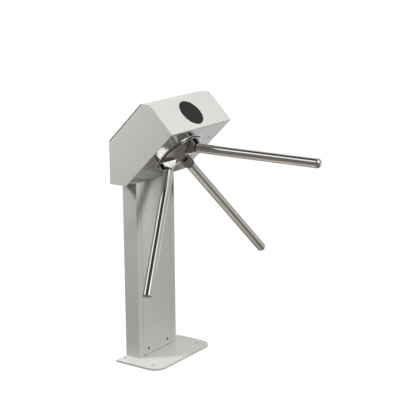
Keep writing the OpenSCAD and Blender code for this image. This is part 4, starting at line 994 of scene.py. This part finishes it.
class TurnstileFinish(bpy.types.PropertyGroup):
    """Colours and roughness of the materials."""

    paint_colour: bpy.props.FloatVectorProperty(
        name="Paint", description="Colour of the powder coat", subtype="COLOR", size=3, min=0,
        max=1, default=(0.60, 0.61, 0.585))
    paint_roughness: bpy.props.FloatProperty(
        name="Paint roughness", description="Roughness of the powder coat", subtype="FACTOR", min=0,
        max=1, default=0.36)
    steel_colour: bpy.props.FloatVectorProperty(
        name="Steel", description="Colour of the polished steel", subtype="COLOR", size=3, min=0,
        max=1, default=(0.80, 0.79, 0.77))
    steel_roughness: bpy.props.FloatProperty(
        name="Steel roughness", description="Roughness of the polished steel", subtype="FACTOR",
        min=0, max=1, default=0.09)
    face_colour: bpy.props.FloatVectorProperty(
        name="Face", description="Colour of the slanted face", subtype="COLOR", size=3, min=0,
        max=1, default=(0.60, 0.60, 0.59))
    face_roughness: bpy.props.FloatProperty(
        name="Face roughness", description="Roughness of the slanted face", subtype="FACTOR",
        min=0, max=1, default=0.13)


class TurnstileStage(bpy.types.PropertyGroup):
    """Lights and camera."""

    fill: bpy.props.FloatProperty(
        name="Fill", description="Strength of the world's light on matt surfaces", min=0, max=5,
        default=0.36)
    key: bpy.props.FloatProperty(
        name="Key light", description="Power of the light above the passage", unit="POWER", min=0,
        max=1000, default=80.0)
    side: bpy.props.FloatProperty(
        name="Side light", description="Power of the light on the left", unit="POWER", min=0,
        max=1000, default=35.5)
    lens: bpy.props.FloatProperty(
        name="Focal length", description="Focal length of the camera", unit="CAMERA", min=20,
        max=300, default=107.79)


def operator(name, label, text, work):
    """Operator class that does one step of the work."""
    def execute(self, context):
        work(context)
        return {"FINISHED"}
    return type(f"TURNSTILE_OT_{name}", (bpy.types.Operator,), {
        "__doc__": text, "bl_idname": f"turnstile.{name}", "bl_label": label,
        "bl_options": {"REGISTER", "UNDO"}, "execute": execute})


STEPS = (
    operator("materials", "Make materials", "Makes the turnstile's materials",
             lambda c: make_materials(c.scene.turnstile_finish)),
    operator("base", "Build base and column", "Builds the base plate, the column and its cover",
             lambda c: base_and_column()),
    operator("head", "Build head", "Builds the head's sheets", lambda c: head()),
    operator("indicator", "Build indicator", "Builds the indicator's window",
             lambda c: indicator()),
    operator("hub", "Build hub", "Builds the hub's ring, cover, forks and pins", lambda c: hub()),
    operator("arms", "Build arms", "Builds the three arms", lambda c: arms()),
    operator("screws", "Build screws", "Builds the visible screws", lambda c: screws()),
    operator("springs", "Build springs", "Builds the return springs", lambda c: return_springs()),
    operator("inside", "Finish the inside", "Gives every CAD node its material",
             lambda c: inner_finishes()),
    operator("stage", "Build stage", "Builds floor, lights, world and camera",
             lambda c: stage(c.scene.turnstile_stage)),
)


class TURNSTILE_PT_panel(bpy.types.Panel):
    """Sidebar panel with the steps and the settings."""

    bl_label = "Turnstile"
    bl_idname = "TURNSTILE_PT_panel"
    bl_space_type = "VIEW_3D"
    bl_region_type = "UI"
    bl_category = "Turnstile"

    def draw(self, context):
        for group in (context.scene.turnstile_finish, context.scene.turnstile_stage):
            column = self.layout.column()
            for key in group.__annotations__:
                column.prop(group, key)
        for step in STEPS:
            self.layout.operator(step.bl_idname)


CLASSES = (TurnstileFinish, TurnstileStage, *STEPS, TURNSTILE_PT_panel)


def register():
    """Registers the classes and the scene's settings."""
    for cls in CLASSES:
        bpy.utils.register_class(cls)
    bpy.types.Scene.turnstile_finish = bpy.props.PointerProperty(type=TurnstileFinish)
    bpy.types.Scene.turnstile_stage = bpy.props.PointerProperty(type=TurnstileStage)


def unregister():
    """Takes the settings and the classes away again."""
    del bpy.types.Scene.turnstile_stage
    del bpy.types.Scene.turnstile_finish
    for cls in reversed(CLASSES):
        bpy.utils.unregister_class(cls)


def main():
    """Builds everything in order and writes the sizes."""
    register()
    for step in STEPS:
        group, name = step.bl_idname.split(".")
        if getattr(getattr(bpy.ops, group), name)() != {"FINISHED"}:
            raise RuntimeError(f"{step.bl_idname} didn't finish")


if __name__ == "__main__":
    main()
